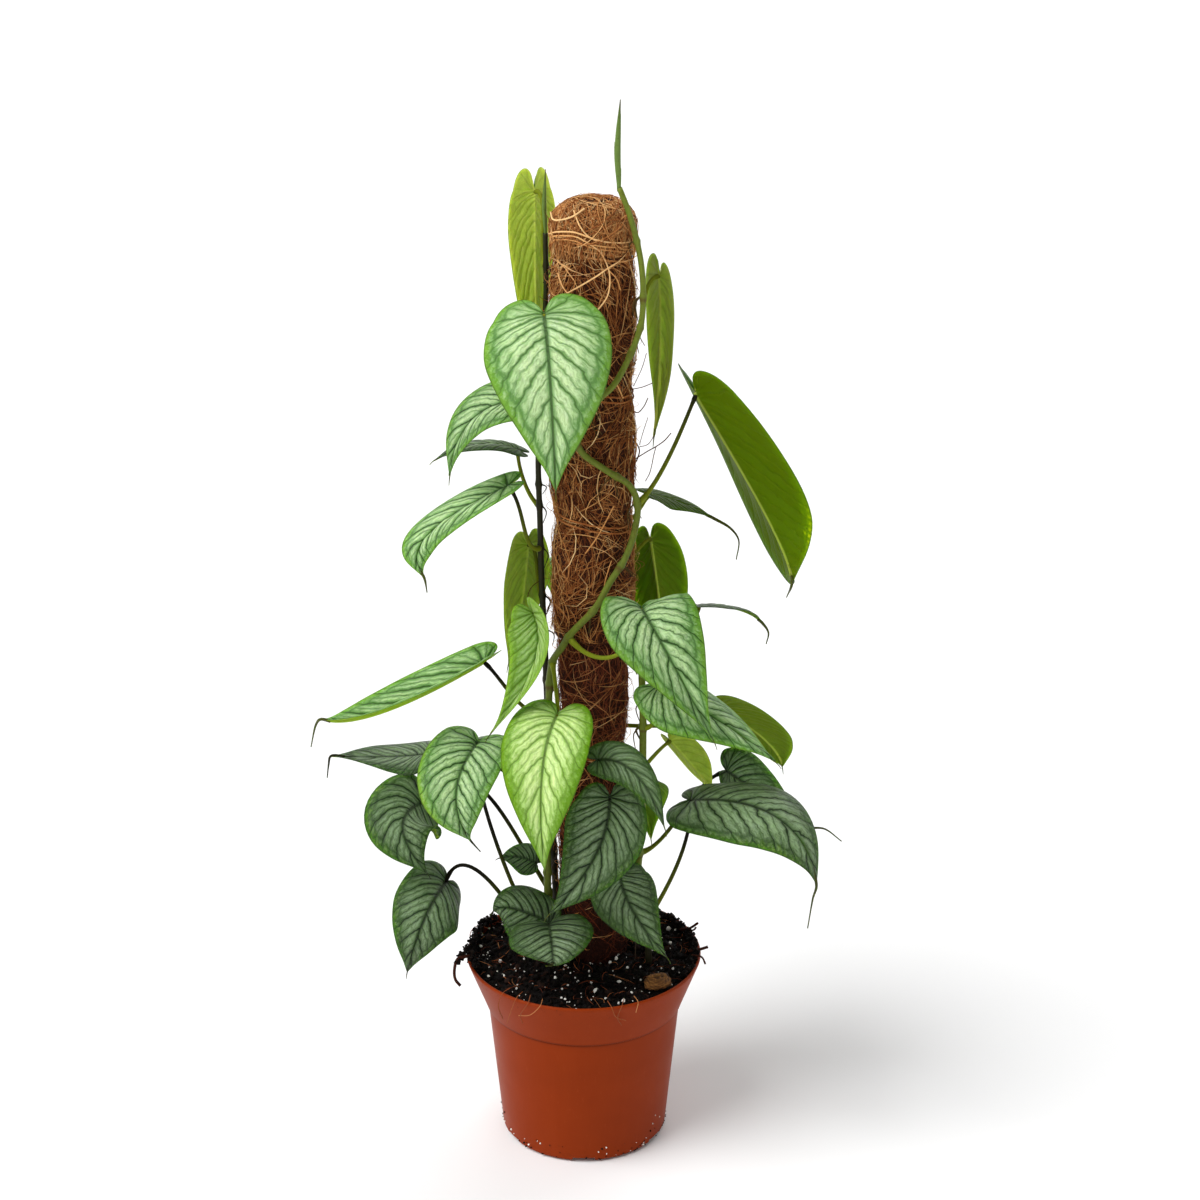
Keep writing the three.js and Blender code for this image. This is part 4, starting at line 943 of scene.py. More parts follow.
def stem_material(name, light, dark, brown):
    """Streaked green with brown scars, and brown rings at the joints."""
    s = Shade(name, roughness=0.45, specular=0.15)
    streak = s.noise(s.place((0.6, 0.6, 0.1)), 1.4, 5)
    base = s.mix(streak, light, dark)
    base = s.mix(s.look("tone"), base, dark)
    scars = s.band(s.noise(s.place((0.5, 0.5, 0.7)), 1.1, 4, 0.7), 0.52, 0.72)
    base = s.mix(s.sum("MULTIPLY", scars, 0.6), base, brown)
    base = s.mix(s.look("joint"), base, brown)
    height = s.sum("MULTIPLY_ADD", streak, 0.6, s.sum("MULTIPLY", scars, 0.3))
    return s.finish(base, height, 0.25, 0.6)


def fibre_material(name, stops, roughness=0.75):
    """Thin strands: each has its own tone, from dark to straw."""
    s = Shade(name, roughness=roughness, specular=0.1)
    wisp = s.noise(s.place((1, 1, 1)), 0.9, 4)
    tone = s.sum("MULTIPLY_ADD", wisp, 0.3, s.sum("SUBTRACT", s.look("tone"), 0.15))
    base = s.stops(tone, stops)
    height = s.noise(s.place((3, 3, 3)), 1.5, 3)
    return s.finish(base, height, 0.1, 0.5)


# Coir pole
def waist_at(height):
    """How far the bindings pinch the sleeve at a height."""
    depths = [np.exp(-((height - z) / POLE_WAIST_REACH) ** 2) for z in BINDINGS.values()]
    return POLE_WAIST * np.max(depths, axis=0)


def sleeve_radius(height):
    """Radius of the coir at a height."""
    height = np.asarray(height, float)
    radius = np.where(height < POLE_JOINT, POLE_LOWER_RADIUS, POLE_UPPER_RADIUS)
    top = np.clip((height - (POLE_TOP - POLE_CROWN)) / POLE_CROWN, 0, 1)
    return (radius - waist_at(height)) * np.sqrt(np.clip(1 - 0.8 * top ** 2, 0, 1))


def on_pole(angle, height, lift):
    """Places on the pole, lifted off its surface."""
    radius = sleeve_radius(height) + lift
    return np.stack([POLE_X + radius * np.cos(angle), radius * np.sin(angle), height], axis=-1)


def lumps(angle, height, seed):
    """Uneven fullness of the matted fibre, in millimetres."""
    a, b, c = np.random.default_rng(seed).uniform(0, 6.28, 3)
    return (0.45 * np.sin(3 * angle + height / 13 + a) + 0.35 * np.sin(5 * angle - height / 7 + b)
            + 0.3 * np.sin(2 * angle + height / 4.1 + c))


def flow(angle, height, seed):
    """The way the matted fibre lies at a place: mostly up and down the pole, in tufts."""
    a, b, c = np.random.default_rng(seed + 7).uniform(0, 6.28, 3)
    return (np.pi / 2 + 0.6 * np.sin(2 * angle + height / 17 + a) + 0.45 * np.sin(3 * angle - height / 9 + b)
            + 0.35 * np.sin(angle + height / 5 + c))


def sleeve_base(low, high, seed):
    """The rough closed tube that the strands lie on."""
    turns, rows = SLEEVE_TURNS, int((high - low) / SLEEVE_ROW)
    rng = np.random.default_rng(seed)
    heights = np.linspace(low, high, rows + 1)
    angles = np.linspace(0, 2 * np.pi, turns, endpoint=False)
    grid_a, grid_h = np.meshgrid(angles, heights)
    lift = -0.9 + 0.5 * lumps(grid_a, grid_h, seed) + rng.uniform(-0.3, 0.3, grid_a.shape)
    points = on_pole(grid_a, grid_h, lift).reshape(-1, 3)
    points = np.vstack([points, [[POLE_X, 0, low]], [[POLE_X, 0, high + 0.6]]])
    return points, *ring_faces(rows + 1, turns)


def coir_strands(rng, count, low, high, seed, lengths, lift, loose, steps=5):
    """Strands that follow the flow on the sleeve, and stand off a little at their ends."""
    length = rng.uniform(*lengths, count)
    angle = rng.uniform(0, 2 * np.pi, count)
    height = rng.uniform(low, high, count)
    heading = flow(angle, height, seed) + rng.normal(0, loose, count)
    t = np.linspace(-0.5, 0.5, steps)
    turn = rng.normal(0, 1.1, count)[:, None] * t[None]
    way = heading[:, None] + turn
    step = (length / (steps - 1))[:, None]
    across = np.cumsum(np.cos(way) * step, axis=1)
    rise = np.cumsum(np.sin(way) * step, axis=1)
    heights = np.clip(height[:, None] + rise - rise.mean(1, keepdims=True), low, high)
    angles = angle[:, None] + (across - across.mean(1, keepdims=True)) / sleeve_radius(height)[:, None]
    stand = rng.uniform(*lift, count)[:, None] + rng.exponential(0.6, count)[:, None] * (2 * t[None]) ** 2
    stand = stand + rng.uniform(-0.15, 0.15, heights.shape)
    return on_pole(angles, heights, stand + 0.5 * lumps(angles, heights, seed))


def make_sleeve(name, node, slot, low, high, seed, count, tones, material):
    """One coir sleeve: a base painted dark as shade under layers of strands, darker towards the soil."""
    rng = np.random.default_rng(seed)
    parts = Parts()
    points, quads, fans = sleeve_base(low, high, seed)
    # the base is coloured dark: painted shade where it shows between the strands
    parts.add(points, quads, fans, tone=0.08)
    for share, lengths, lift, loose, radii, lighter in COIR_LAYERS:
        paths = coir_strands(rng, int(count * share), low + 1, high - 0.5, seed, lengths, lift, loose)
        steps = paths.shape[1]
        points, quads, ends = strands(paths, rng.uniform(*radii, len(paths)))
        middle = paths[:, steps // 2]
        tuft = 0.16 * np.sin(middle[:, 0] / 3.1 + middle[:, 2] / 6.3) * np.sin(middle[:, 2] / 4.7 + seed)
        # the layers' lighter tone is painted light on the strands that stand out
        tone = np.clip(rng.normal(tones[0] + lighter, tones[1], len(paths)) + tuft, 0.02, 1)
        # painted highlight: strands near the pole's top are lighter, where the light falls from above
        tone = tone + 0.16 * ease(440, POLE_TOP, middle[:, 2])
        # strands darker below about 225 mm, most of all towards the soil
        tone = np.maximum(tone - 0.5 * (1 - ease(105, 225, middle[:, 2])), 0)
        parts.add(points, quads, ends, tone=np.repeat(tone, steps * 3))
    return parts.build(name, slot, material, node=node)


def dome(distance, angle, lift):
    """Places on the pole's rounded top, by distance along its surface from the middle."""
    radius = POLE_UPPER_RADIUS - 0.5
    reach = radius * 1.15
    turn = np.clip(distance / reach, 0, 1) * np.pi / 2
    r = (radius + lift) * np.sin(turn)
    z = POLE_TOP - POLE_CROWN * (1 - np.cos(turn)) + lift * np.cos(turn) - np.maximum(distance - reach, 0)
    return np.stack([POLE_X + r * np.cos(angle), r * np.sin(angle), z], axis=-1)


def make_crown(material):
    """Straw-coloured strands curled over the pole's top, with a few long loose loops."""
    rng = np.random.default_rng(71)
    parts = Parts()
    for count, steps, bend, lengths, lift, radii, reach in CROWN_LAYERS:
        middle = reach * rng.uniform(0, 1, count) ** 0.62
        spin = rng.uniform(0, 2 * np.pi, count)
        curve = rng.uniform(*bend, count) * rng.choice([-1, 1], count)
        length = rng.uniform(*lengths, count)
        t = np.linspace(-0.5, 0.5, steps)
        heading = spin + rng.normal(0, 0.5, count) + ease(20, 4, middle) * rng.uniform(-2, 2, count)
        way = heading[:, None] + (length / curve)[:, None] * t[None]
        step = (length / (steps - 1))[:, None]
        step_x, step_y = np.cos(way) * step, np.sin(way) * step
        start_x, start_y = (middle * np.cos(spin))[:, None], (middle * np.sin(spin))[:, None]
        flat_x = start_x + np.cumsum(step_x, axis=1) - step_x.sum(1, keepdims=True) / 2
        flat_y = start_y + np.cumsum(step_y, axis=1) - step_y.sum(1, keepdims=True) / 2
        rise = rng.uniform(*lift, count)[:, None] + 0.4 * np.sin(9 * t[None] + spin[:, None])
        paths = dome(np.minimum(np.hypot(flat_x, flat_y), 36), np.arctan2(flat_y, flat_x), rise)
        points, quads, ends = strands(paths, rng.uniform(*radii, count))
        tone = np.clip(rng.normal(0.62, 0.18, count), 0.1, 1)
        parts.add(points, quads, ends, tone=np.repeat(tone, steps * 3))
    return parts.build("pole_crown_strands", "coir_light", material)


def make_strays(material):
    """Single fibres that stand away from the pole, and long loose ones that hang in arcs on it."""
    rng = np.random.default_rng(72)
    parts = Parts()
    count, steps = STRAY_FIBRES, 8
    height = rng.uniform(105, POLE_TOP - 8, count)
    angle = rng.uniform(0, 2 * np.pi, count)
    t = np.linspace(0, 1, steps)
    length = rng.uniform(6, 17, count)
    rise = rng.normal(0, 0.8, count)[:, None] * length[:, None] * t[None] * 0.5
    curl = rng.normal(0, 0.9, count)[:, None] * t[None] ** 2
    reach = (rng.uniform(1.5, 6.5, count) * length / 17)[:, None]
    out = reach * np.sin(t * rng.uniform(1.2, 2.9, count)[:, None])
    heights = np.clip(height[:, None] + rise, 100, POLE_TOP - 4)
    along = angle[:, None] + (length * rng.choice([-1, 1], count) / 26)[:, None] * t[None] + curl * 0.3
    paths = on_pole(along, heights, out - 0.3)
    points, quads, ends = strands(paths, rng.uniform(0.09, 0.17, count))
    tone = np.clip(rng.normal(0.55, 0.2, count), 0, 1)
    parts.add(points, quads, ends, tone=np.repeat(tone, steps * 3))
    for thick, tone, line in LOOSE_FIBRES:
        turn, level = np.array(line, float).T
        path = on_pole(np.radians(turn), level, 1.9 + thick)
        points, quads, fans, _ = tube(spaced(centripetal(path), 40), thick, 6)
        parts.add(points, quads, fans, tone=tone)
    for thick, line in WISPS:
        points, quads, fans, _ = tube(spaced(centripetal(line), 16), thick, 5)
        parts.add(points, quads, fans, tone=0.2)
    return parts.build("pole_stray_fibres", "coir_light", material)


def make_binding(name, height, material):
    """Two turns of fibre, twisted from three strands and laid on a slant."""
    t = np.linspace(0, 1, BINDING_STEPS)
    angle = 2 * np.pi * BINDING_TURNS * t + (0.6 if name == "binding_top" else 2.2)
    level = height + BINDING_PITCH * BINDING_TURNS * (t - 0.5) - BINDING_SLANT * np.cos(angle)
    middle = on_pole(angle, level, BINDING_STAND + 0.25 * np.sin(5 * angle))
    tone, lighter = (0.6, 0.12) if height > 400 else (0.42, 0.1)
    parts = Parts()
    for k in range(3):
        twist = 34 * np.pi * t + 2 * np.pi * k / 3
        away = [np.cos(angle) * np.cos(twist), np.sin(angle) * np.cos(twist), np.sin(twist)]
        path = middle + BINDING_STRAND * np.stack(away, axis=1)
        points, quads, fans, _ = tube(path, BINDING_STRAND, 5)
        parts.add(points, quads, fans, tone=tone + lighter * k)
    return parts.build("pole_" + name, "binding_strand", material, node=name)


# Vines
def grip_root(rng, point, radius):
    """Path of a small root from a stem towards the coir and down along it."""
    toward = vec(POLE_X - point[0], -point[1], 0)
    gap = np.linalg.norm(toward)
    toward = toward / max(gap, 1e-6)
    side = vec(-toward[1], toward[0], 0)
    skew = rng.normal(0, 0.7)
    start = point + toward * radius * 0.6
    reach = rng.uniform(5, 13)
    middle = start + toward * min(gap * 0.2, 2.5) + side * skew * 3 - vec(0, 0, reach * 0.3)
    end = start + side * skew * 7 + toward * 0.6 - vec(0, 0, reach)
    path = spaced(centripetal([start, middle, end], 8), 9)
    out = np.hypot(path[:, 0] - POLE_X, path[:, 1])
    push = np.maximum((sleeve_radius(path[:, 2]) + 0.5) / np.maximum(out, 1e-6), 1)
    path[:, 0] = POLE_X + (path[:, 0] - POLE_X) * push
    path[:, 1] = path[:, 1] * push
    return path


def make_vine(name):
    """A stem with swollen joints, a brown ring at each, and small roots that grip the coir."""
    rng = np.random.default_rng(sum(map(ord, name)))
    line = VINE_LINES[name]
    length = np.linalg.norm(np.diff(line, axis=0), axis=1).sum()
    share = np.linspace(0, 1, len(line))
    radii = ramp(*VINES[name][0], share)
    heights = [leaf[8] for leaf in LEAVES.values() if leaf[7] == name]
    joints = np.array([np.argmax(line[:, 2] >= z) / (len(line) - 1) for z in heights])
    bare = [s for s in np.arange(0.06, 1, 26 / length) if np.all(np.abs(joints - s) > 10 / length)]
    joints = np.concatenate([joints, bare])
    ring = np.zeros(len(line))
    for s in joints:
        gap = (share - s) * length
        radii = radii * (1 + 0.34 * np.exp(-(gap / 1.5) ** 2))
        ring = np.maximum(ring, np.exp(-((gap + 1.1) / 0.55) ** 2))
    sides = 12
    parts = Parts()
    points, quads, fans, _ = tube(line, radii, sides)
    dark = VINE_TONES[name]
    tones = np.clip(np.concatenate([np.repeat(ramp(*dark, share), sides), dark]), 0, 1)
    rings = np.concatenate([np.repeat(ring, sides), [0, 0]])
    parts.add(points, quads, fans, tone=tones, joint=rings * 0.8)
    for s in joints:
        k = int(np.clip(round(s * (len(line) - 1)), 3, len(line) - 4))
        if line[k][2] < SOIL_EDGE + 6:
            continue
        for _ in range(rng.integers(1, 4)):
            path = grip_root(rng, line[k], radii[k])
            points, quads, fans, _ = tube(path, ramp(*ROOT_RADII, np.linspace(0, 1, len(path))), 6)
            parts.add(points, quads, fans, tone=0.8, joint=0.85)
    return parts.build("plant_" + name, VINE_SLOTS[name], STEM_MATERIALS[VINE_SLOTS[name]], node=name)


def make_spear(name, material):
    """A rolled new leaf: a long cone with the edge of the blade wound round it."""
    radius, line = SPEARS[name]
    line = spaced(centripetal(line), 60)
    line[0] += SPEAR_SINK * unit(line[0] - line[1])
    t = np.linspace(0, 1, len(line))
    radii = radius * (0.3 + 0.7 * np.sin(np.pi * (0.14 + 0.86 * t)) ** 0.9) * (1 - 0.55 * t ** 3)
    sides = 18
    points, quads, fans, _ = tube(line, radii, sides)
    ring = np.arange(sides) / sides
    wound = np.mod(ring[None] + 1.6 * t[:, None], 1)
    body = points[:-2].reshape(len(line), sides, 3)
    body = line[:, None] + (body - line[:, None]) * (1 + 0.2 * wound)[:, :, None]
    points = np.vstack([body.reshape(-1, 3), points[-2:]])
    parts = Parts()
    tone = np.concatenate([np.repeat(0.15 + 0.75 * t ** 2, sides), [0.1, 0.9]])
    brown = np.concatenate([np.repeat(ease(0.75, 1, t), sides), [0, 1]])
    parts.add(points, quads, fans, tone=tone, joint=brown)
    return parts.build("plant_" + name, "spear_green", material, node=name)


# Soil
def soil_top(x, y):
    """Height of the soil's surface."""
    share = np.minimum(np.hypot(x, y) / POT_RIM, 1)
    lump = np.sin(x / 6.1 + 1) * np.cos(y / 5.3) + 0.6 * np.sin((x + y) / 3.7)
    return SOIL_EDGE + SOIL_MOUND * (1 - share ** 2) + SOIL_LUMP * lump * (1 - share ** 6)


def rough_stones(rng, places, sizes, squash=(0.5, 1.0)):
    """Irregular crumbs from jittered, stretched and turned icosahedra."""
    g = (1 + 5 ** 0.5) / 2
    shape = unit(np.array([(-1, g, 0), (1, g, 0), (-1, -g, 0), (1, -g, 0), (0, -1, g), (0, 1, g), (0, -1, -g),
                           (0, 1, -g), (g, 0, -1), (g, 0, 1), (-g, 0, -1), (-g, 0, 1)]))
    faces = np.array([(0, 11, 5), (0, 5, 1), (0, 1, 7), (0, 7, 10), (0, 10, 11), (1, 5, 9), (5, 11, 4),
                      (11, 10, 2), (10, 7, 6), (7, 1, 8), (3, 9, 4),
                      (3, 4, 2), (3, 2, 6), (3, 6, 8), (3, 8, 9),
                      (4, 9, 5), (2, 4, 11), (6, 2, 10), (8, 6, 7), (9, 8, 1)])
    count = len(places)
    forms = shape[None] * (1 + rng.uniform(-0.28, 0.28, (count, 12, 1)))
    forms = forms * rng.uniform(squash[0], squash[1], (count, 1, 3))
    turn, lean = rng.uniform(0, 2 * np.pi, (2, count))
    c, s = np.cos(turn)[:, None], np.sin(turn)[:, None]
    x, y, z = forms[..., 0] * c - forms[..., 1] * s, forms[..., 0] * s + forms[..., 1] * c, forms[..., 2]
    c, s = np.cos(lean * 0.25)[:, None], np.sin(lean * 0.25)[:, None]
    forms = np.stack([x, y * c - z * s, y * s + z * c], axis=-1)
    points = forms * sizes[:, None, None] + places[:, None]
    faces = faces[None] + 12 * np.arange(count)[:, None, None]
    return points.reshape(-1, 3), faces.reshape(-1, 3)


def scatter(rng, count, reach=57.0):
    """Random places on the soil, none of them inside the pole."""
    radius = reach * np.sqrt(rng.uniform(0, 1, count))
    angle = rng.uniform(0, 2 * np.pi, count)
    x, y = radius * np.cos(angle), radius * np.sin(angle)
    clear = np.hypot(x - POLE_X, y) > POLE_LOWER_RADIUS - 1
    return x[clear], y[clear]


def soil_body(rng):
    """The closed body under the crumbs: a rough top and a short skirt inside the pot."""
    turns, rows = SOIL_TURNS, SOIL_ROWS
    radius = SOIL_REACH * np.linspace(0.02, 1, rows + 1)
    angle = np.linspace(0, 2 * np.pi, turns, endpoint=False)
    x, y = radius[:, None] * np.cos(angle)[None], radius[:, None] * np.sin(angle)[None]
    z = soil_top(x, y) - SOIL_SINK + rng.uniform(-0.35, 0.35, x.shape)
    z = z + 0.5 * np.sin(x * 1.1 + 2) * np.sin(y * 1.3)
    top = np.stack([x, y, z], axis=-1)
    skirt = [SKIRT_RADIUS * np.cos(angle), SKIRT_RADIUS * np.sin(angle), 0 * angle + SKIRT_HEIGHT]
    points = np.concatenate([top, np.stack(skirt, axis=1)[None]])
    ends = [[0, 0, soil_top(0.0, 0.0) - SOIL_SINK], [0, 0, SKIRT_HEIGHT]]
    points = np.vstack([points.reshape(-1, 3), ends])
    return points, *ring_faces(rows + 2, turns, downward=True)


def make_soil(material):
    """Soil body, loose crumbs on it, and clods heaped over the pot's rim."""
    rng = np.random.default_rng(81)
    parts = Parts()
    parts.add(*soil_body(rng), tone=0.15)
    x, y = scatter(rng, CRUMBS)
    sizes = np.minimum(0.45 + rng.exponential(0.42, len(x)), 2.6)
    z = soil_top(x, y) - 0.5 + rng.uniform(-0.5, 0.7, len(x)) * sizes
    points, faces = rough_stones(rng, np.stack([x, y, z], axis=1), sizes)
    parts.add(points, (), faces, tone=np.repeat(rng.uniform(0, 1, len(x)) ** 2, 12))
    for px, py, pz, size in LEFT_HEAP + RIGHT_HEAP + SINGLE_CLODS:
        spread = np.clip(rng.normal(0, 0.42, (CLOD_CRUMBS, 3)), -0.9, 0.9) * size
        places = np.array([[px, py, pz]]) + spread
        points, faces = rough_stones(rng, places, rng.uniform(0.5, 1.25, CLOD_CRUMBS))
        parts.add(points, (), faces, tone=np.repeat(rng.uniform(0, 0.7, CLOD_CRUMBS), 12))
    return parts.build("pot_soil", "potting_soil", material, smooth=False, node="soil")


def make_perlite(material):
    """White grains in the soil, most of them small."""
    rng = np.random.default_rng(82)
    x, y = scatter(rng, PERLITE_GRAINS)
    sizes = np.minimum(0.32 + rng.exponential(0.34, len(x)), 1.8)
    z = soil_top(x, y) + 0.25 + 0.2 * sizes
    points, faces = rough_stones(rng, np.stack([x, y, z], axis=1), sizes, (0.65, 1.0))
    parts = Parts()
    parts.add(points, (), faces, tone=np.repeat(rng.uniform(0, 1, len(x)), 12))
    return parts.build("pot_perlite", "potting_soil", material, smooth=False)


def make_litter(material):
    """Fibres, rootlets and splinters on the soil and over the rim."""
    rng = np.random.default_rng(83)
    parts = Parts()
    x, y = scatter(rng, LITTER_FIBRES, LITTER_REACH)
    count, steps = len(x), 6
    t = np.linspace(-0.5, 0.5, steps)
    length = rng.uniform(3, 15, count)
    way = rng.uniform(0, 2 * np.pi, count)[:, None] + rng.normal(0, 1.2, count)[:, None] * t[None]
    px = x[:, None] + np.cumsum(np.cos(way), axis=1) * (length / steps)[:, None]
    py = y[:, None] + np.cumsum(np.sin(way), axis=1) * (length / steps)[:, None]
    px = px - px.mean(1, keepdims=True) + x[:, None]
    py = py - py.mean(1, keepdims=True) + y[:, None]
    far = np.hypot(px, py)
    keep = np.where(far > LITTER_REACH, LITTER_REACH / far, 1)
    px, py = px * keep, py * keep
    pz = soil_top(px, py) + 0.5 + rng.uniform(0, 1.3, count)[:, None] * (1 - 3.2 * t[None] ** 2)
    points, quads, ends = strands(np.stack([px, py, pz], axis=-1), rng.uniform(0.07, 0.2, count))
    tone = 0.85 * rng.uniform(0.1, 1, count) ** 1.8
    parts.add(points, quads, ends, tone=np.repeat(tone, steps * 3))
    for line, thick, tone in RIM_FIBRES:
        points, quads, fans, _ = tube(spaced(centripetal(line), 24), thick, 6)
        parts.add(points, quads, fans, tone=tone)
    return parts.build("pot_litter", "coir_dark", material)


def make_specks(crumb_material, grain_material):
    """Crumbs and white grains that stick to the pot's foot, most of them near the floor."""
    rng = np.random.default_rng(85)
    count = FOOT_SPECKS
    angle = rng.uniform(0, 2 * np.pi, count)
    height = np.clip(0.7 + rng.exponential(3.2, count), 0, 16)
    radius = ramp(POT_BASE_RADIUS, POT_BODY_TOP_RADIUS, height / (POT_HEIGHT - POT_COLLAR))
    radius = radius - np.where(height < POT_EDGE, (POT_EDGE - height) ** 2 / POT_EDGE * 0.45, 0)
    sizes = np.minimum(rng.uniform(0.22, 0.75, count), height * 0.8)
    places = np.stack([radius * np.cos(angle), radius * np.sin(angle), height], axis=1)
    white = rng.uniform(0, 1, count) < 0.3
    kinds = [("pot_foot_crumbs", ~white, crumb_material), ("pot_foot_grains", white, grain_material)]
    for name, chosen, material in kinds:
        points, faces = rough_stones(rng, places[chosen], sizes[chosen])
        parts = Parts()
        parts.add(points, (), faces, tone=np.repeat(rng.uniform(0.1, 0.8, chosen.sum()), 12))
        parts.build(name, "potting_soil", material, smooth=False)


def make_chip(material):
    """A round chip of bark with rings and a crumbled edge."""
    rng = np.random.default_rng(84)
    rows, turns = 15, 44
    polar = np.linspace(0.06, np.pi - 0.06, rows)
    angle = np.linspace(0, 2 * np.pi, turns, endpoint=False)
    grain = rng.uniform(-0.04, 0.04, (rows, turns))
    knobs = 0.09 * np.sin(3 * angle + 1)[None] * np.sin(2.5 * polar)[:, None]
    swell = 1 + grain + knobs + 0.05 * np.sin(11 * polar)[:, None]
    x = np.sin(polar)[:, None] * np.cos(angle)[None] * CHIP_SIZE[0] / 2 * swell
    y = np.sin(polar)[:, None] * np.sin(angle)[None] * CHIP_SIZE[1] / 2 * swell
    z = np.cos(polar)[:, None] * CHIP_SIZE[2] / 2 * swell
    c, s = math.cos(CHIP_TURN), math.sin(CHIP_TURN)
    x, y = x * c - y * s, x * s + y * c
    base = soil_top(*map(float, CHIP_PLACE)) + CHIP_SIZE[2] * 0.12
    points = np.stack([x + CHIP_PLACE[0], y + CHIP_PLACE[1], z + base], axis=-1).reshape(-1, 3)
    points = np.vstack([points, points[:turns].mean(0), points[-turns:].mean(0)])
    parts = Parts()
    parts.add(points, *ring_faces(rows, turns, downward=True), tone=0.5)
    return parts.build("pot_bark_chip", "bark", material, node="bark_chip")


# Pot
def arc(centre, radius, start, end, steps):
    """Points on part of a circle, between two angles in degrees."""
    turn = np.radians(np.linspace(start, end, steps))
    return [(centre[0] + radius * math.cos(a), centre[1] + radius * math.sin(a)) for a in turn]


def cutter(name, points, faces):
    """A closed tool for cutting, from points in millimetres."""
    mesh = bpy.data.meshes.new(name)
    mesh.from_pydata([tuple(MM * v for v in p) for p in points], [], faces)
    form = bpy.data.objects.new(name, mesh)
    bpy.context.scene.collection.objects.link(form)
    return form


def drain_notch(c, s):
    """Cuts a notch in the base's edge, narrower at its top; c and s turn it round the pot."""
    half = DRAIN_WIDTH / 2
    near, far = POT_BASE_RADIUS - 10, POT_BASE_RADIUS + 10
    corners = [(near, -half, -2), (far, -half, -2), (far, half, -2), (near, half, -2)]
    corners += [(x, y * (half - DRAIN_TAPER) / half, DRAIN_HEIGHT) for x, y, z in corners]
    faces = [(0, 3, 2, 1), (4, 5, 6, 7), (0, 1, 5, 4), (1, 2, 6, 5), (2, 3, 7, 6), (3, 0, 4, 7)]
    return cutter("notch", [(x * c - y * s, x * s + y * c, z) for x, y, z in corners], faces)


def drain_hole(c, s):
    """Cuts a round hole through the base; c and s turn it round the pot."""
    sides = 20
    circle = [(DRAIN_HOLE_DISTANCE * c + DRAIN_HOLE_RADIUS * math.cos(a),
               DRAIN_HOLE_DISTANCE * s + DRAIN_HOLE_RADIUS * math.sin(a))
              for a in np.linspace(0, 2 * math.pi, sides, endpoint=False)]
    wall = [(i, (i + 1) % sides, sides + (i + 1) % sides, sides + i) for i in range(sides)]
    caps = [tuple(range(sides))[::-1], tuple(range(sides, 2 * sides))]
    return cutter("hole", [(x, y, z) for z in (-2, POT_FLOOR + 2) for x, y in circle], wall + caps)


def cut_away(piece, tools):
    """Takes the tools' forms out of a piece and keeps its edges sharp."""
    for tool in tools:
        cut = piece.modifiers.new("cut", "BOOLEAN")
        cut.operation, cut.object, cut.solver = "DIFFERENCE", tool, "EXACT"
    view = bpy.context.evaluated_depsgraph_get()
    shape = bpy.data.meshes.new_from_object(piece.evaluated_get(view))
    piece.modifiers.clear()
    piece.data = shape
    for tool in tools:
        bpy.data.objects.remove(tool)
    shape.shade_smooth()
    shape.set_sharp_from_angle(angle=math.radians(32))


def pot_profile():
    """Half section of the pot: up its outside, over the rounded rim and down its inside."""
    foot = POT_HEIGHT - POT_COLLAR
    profile = [(0, 0), (POT_BASE_RADIUS * 0.5, 0)]
    profile += arc((POT_BASE_RADIUS - POT_EDGE, POT_EDGE), POT_EDGE, -90, 0, 7)
    for share in np.linspace(0.1, 0.97, 9):
        radius = ramp(POT_BASE_RADIUS, POT_BODY_TOP_RADIUS, share)
        profile.append((radius, ramp(POT_EDGE, foot - 0.6, share)))
    profile += [(POT_BODY_TOP_RADIUS, foot - 0.7), (POT_COLLAR_FOOT_RADIUS - 0.6, foot - 0.35)]
    profile += arc((POT_COLLAR_FOOT_RADIUS - 0.5, foot + 0.15), 0.5, -80, -10, 4)
    for share in np.linspace(0.05, 0.95, 8):
        radius = ramp(POT_COLLAR_FOOT_RADIUS, POT_RIM - 0.1, share)
        profile.append((radius, ramp(foot + 0.2, POT_HEIGHT - 1.2, share)))
    profile += arc((POT_RIM - 0.8, POT_HEIGHT - 0.8), 0.8, -15, 180, 9)
    profile += [(POT_RIM - POT_WALL, POT_HEIGHT - 2.0),
                (POT_COLLAR_FOOT_RADIUS - POT_WALL, foot + 0.4),
                (POT_BODY_TOP_RADIUS - POT_WALL - 0.4, foot - 1),
                (POT_BASE_RADIUS - POT_WALL + 0.2, POT_FLOOR + POT_EDGE),
                (POT_BASE_RADIUS - POT_WALL - POT_EDGE, POT_FLOOR),
                (0, POT_FLOOR)]
    return np.array(profile)


def make_pot(material):
    """Turned shell with a collar over a small step, and drain notches and holes in its base."""
    profile = pot_profile()
    turns = POT_TURN_STEPS
    angle = np.linspace(0, 2 * np.pi, turns, endpoint=False)
    radius, height = profile[1:-1, :1], profile[1:-1, 1:]
    points = np.stack([radius * np.cos(angle), radius * np.sin(angle), height * np.ones(turns)], axis=-1)
    points = np.vstack([points.reshape(-1, 3), [[0, 0, profile[0, 1]]], [[0, 0, profile[-1, 1]]]])
    parts = Parts()
    parts.add(points, *ring_faces(len(radius), turns))
    pot = parts.build("pot_shell", "pot_plastic", material, node="pot")
    tools = []
    for k in range(DRAINS):
        turn = -math.pi / 2 + 2 * math.pi * k / DRAINS
        c, s = math.cos(turn), math.sin(turn)
        tools += [drain_notch(c, s), drain_hole(c, s)]
    cut_away(pot, tools)
    return pot


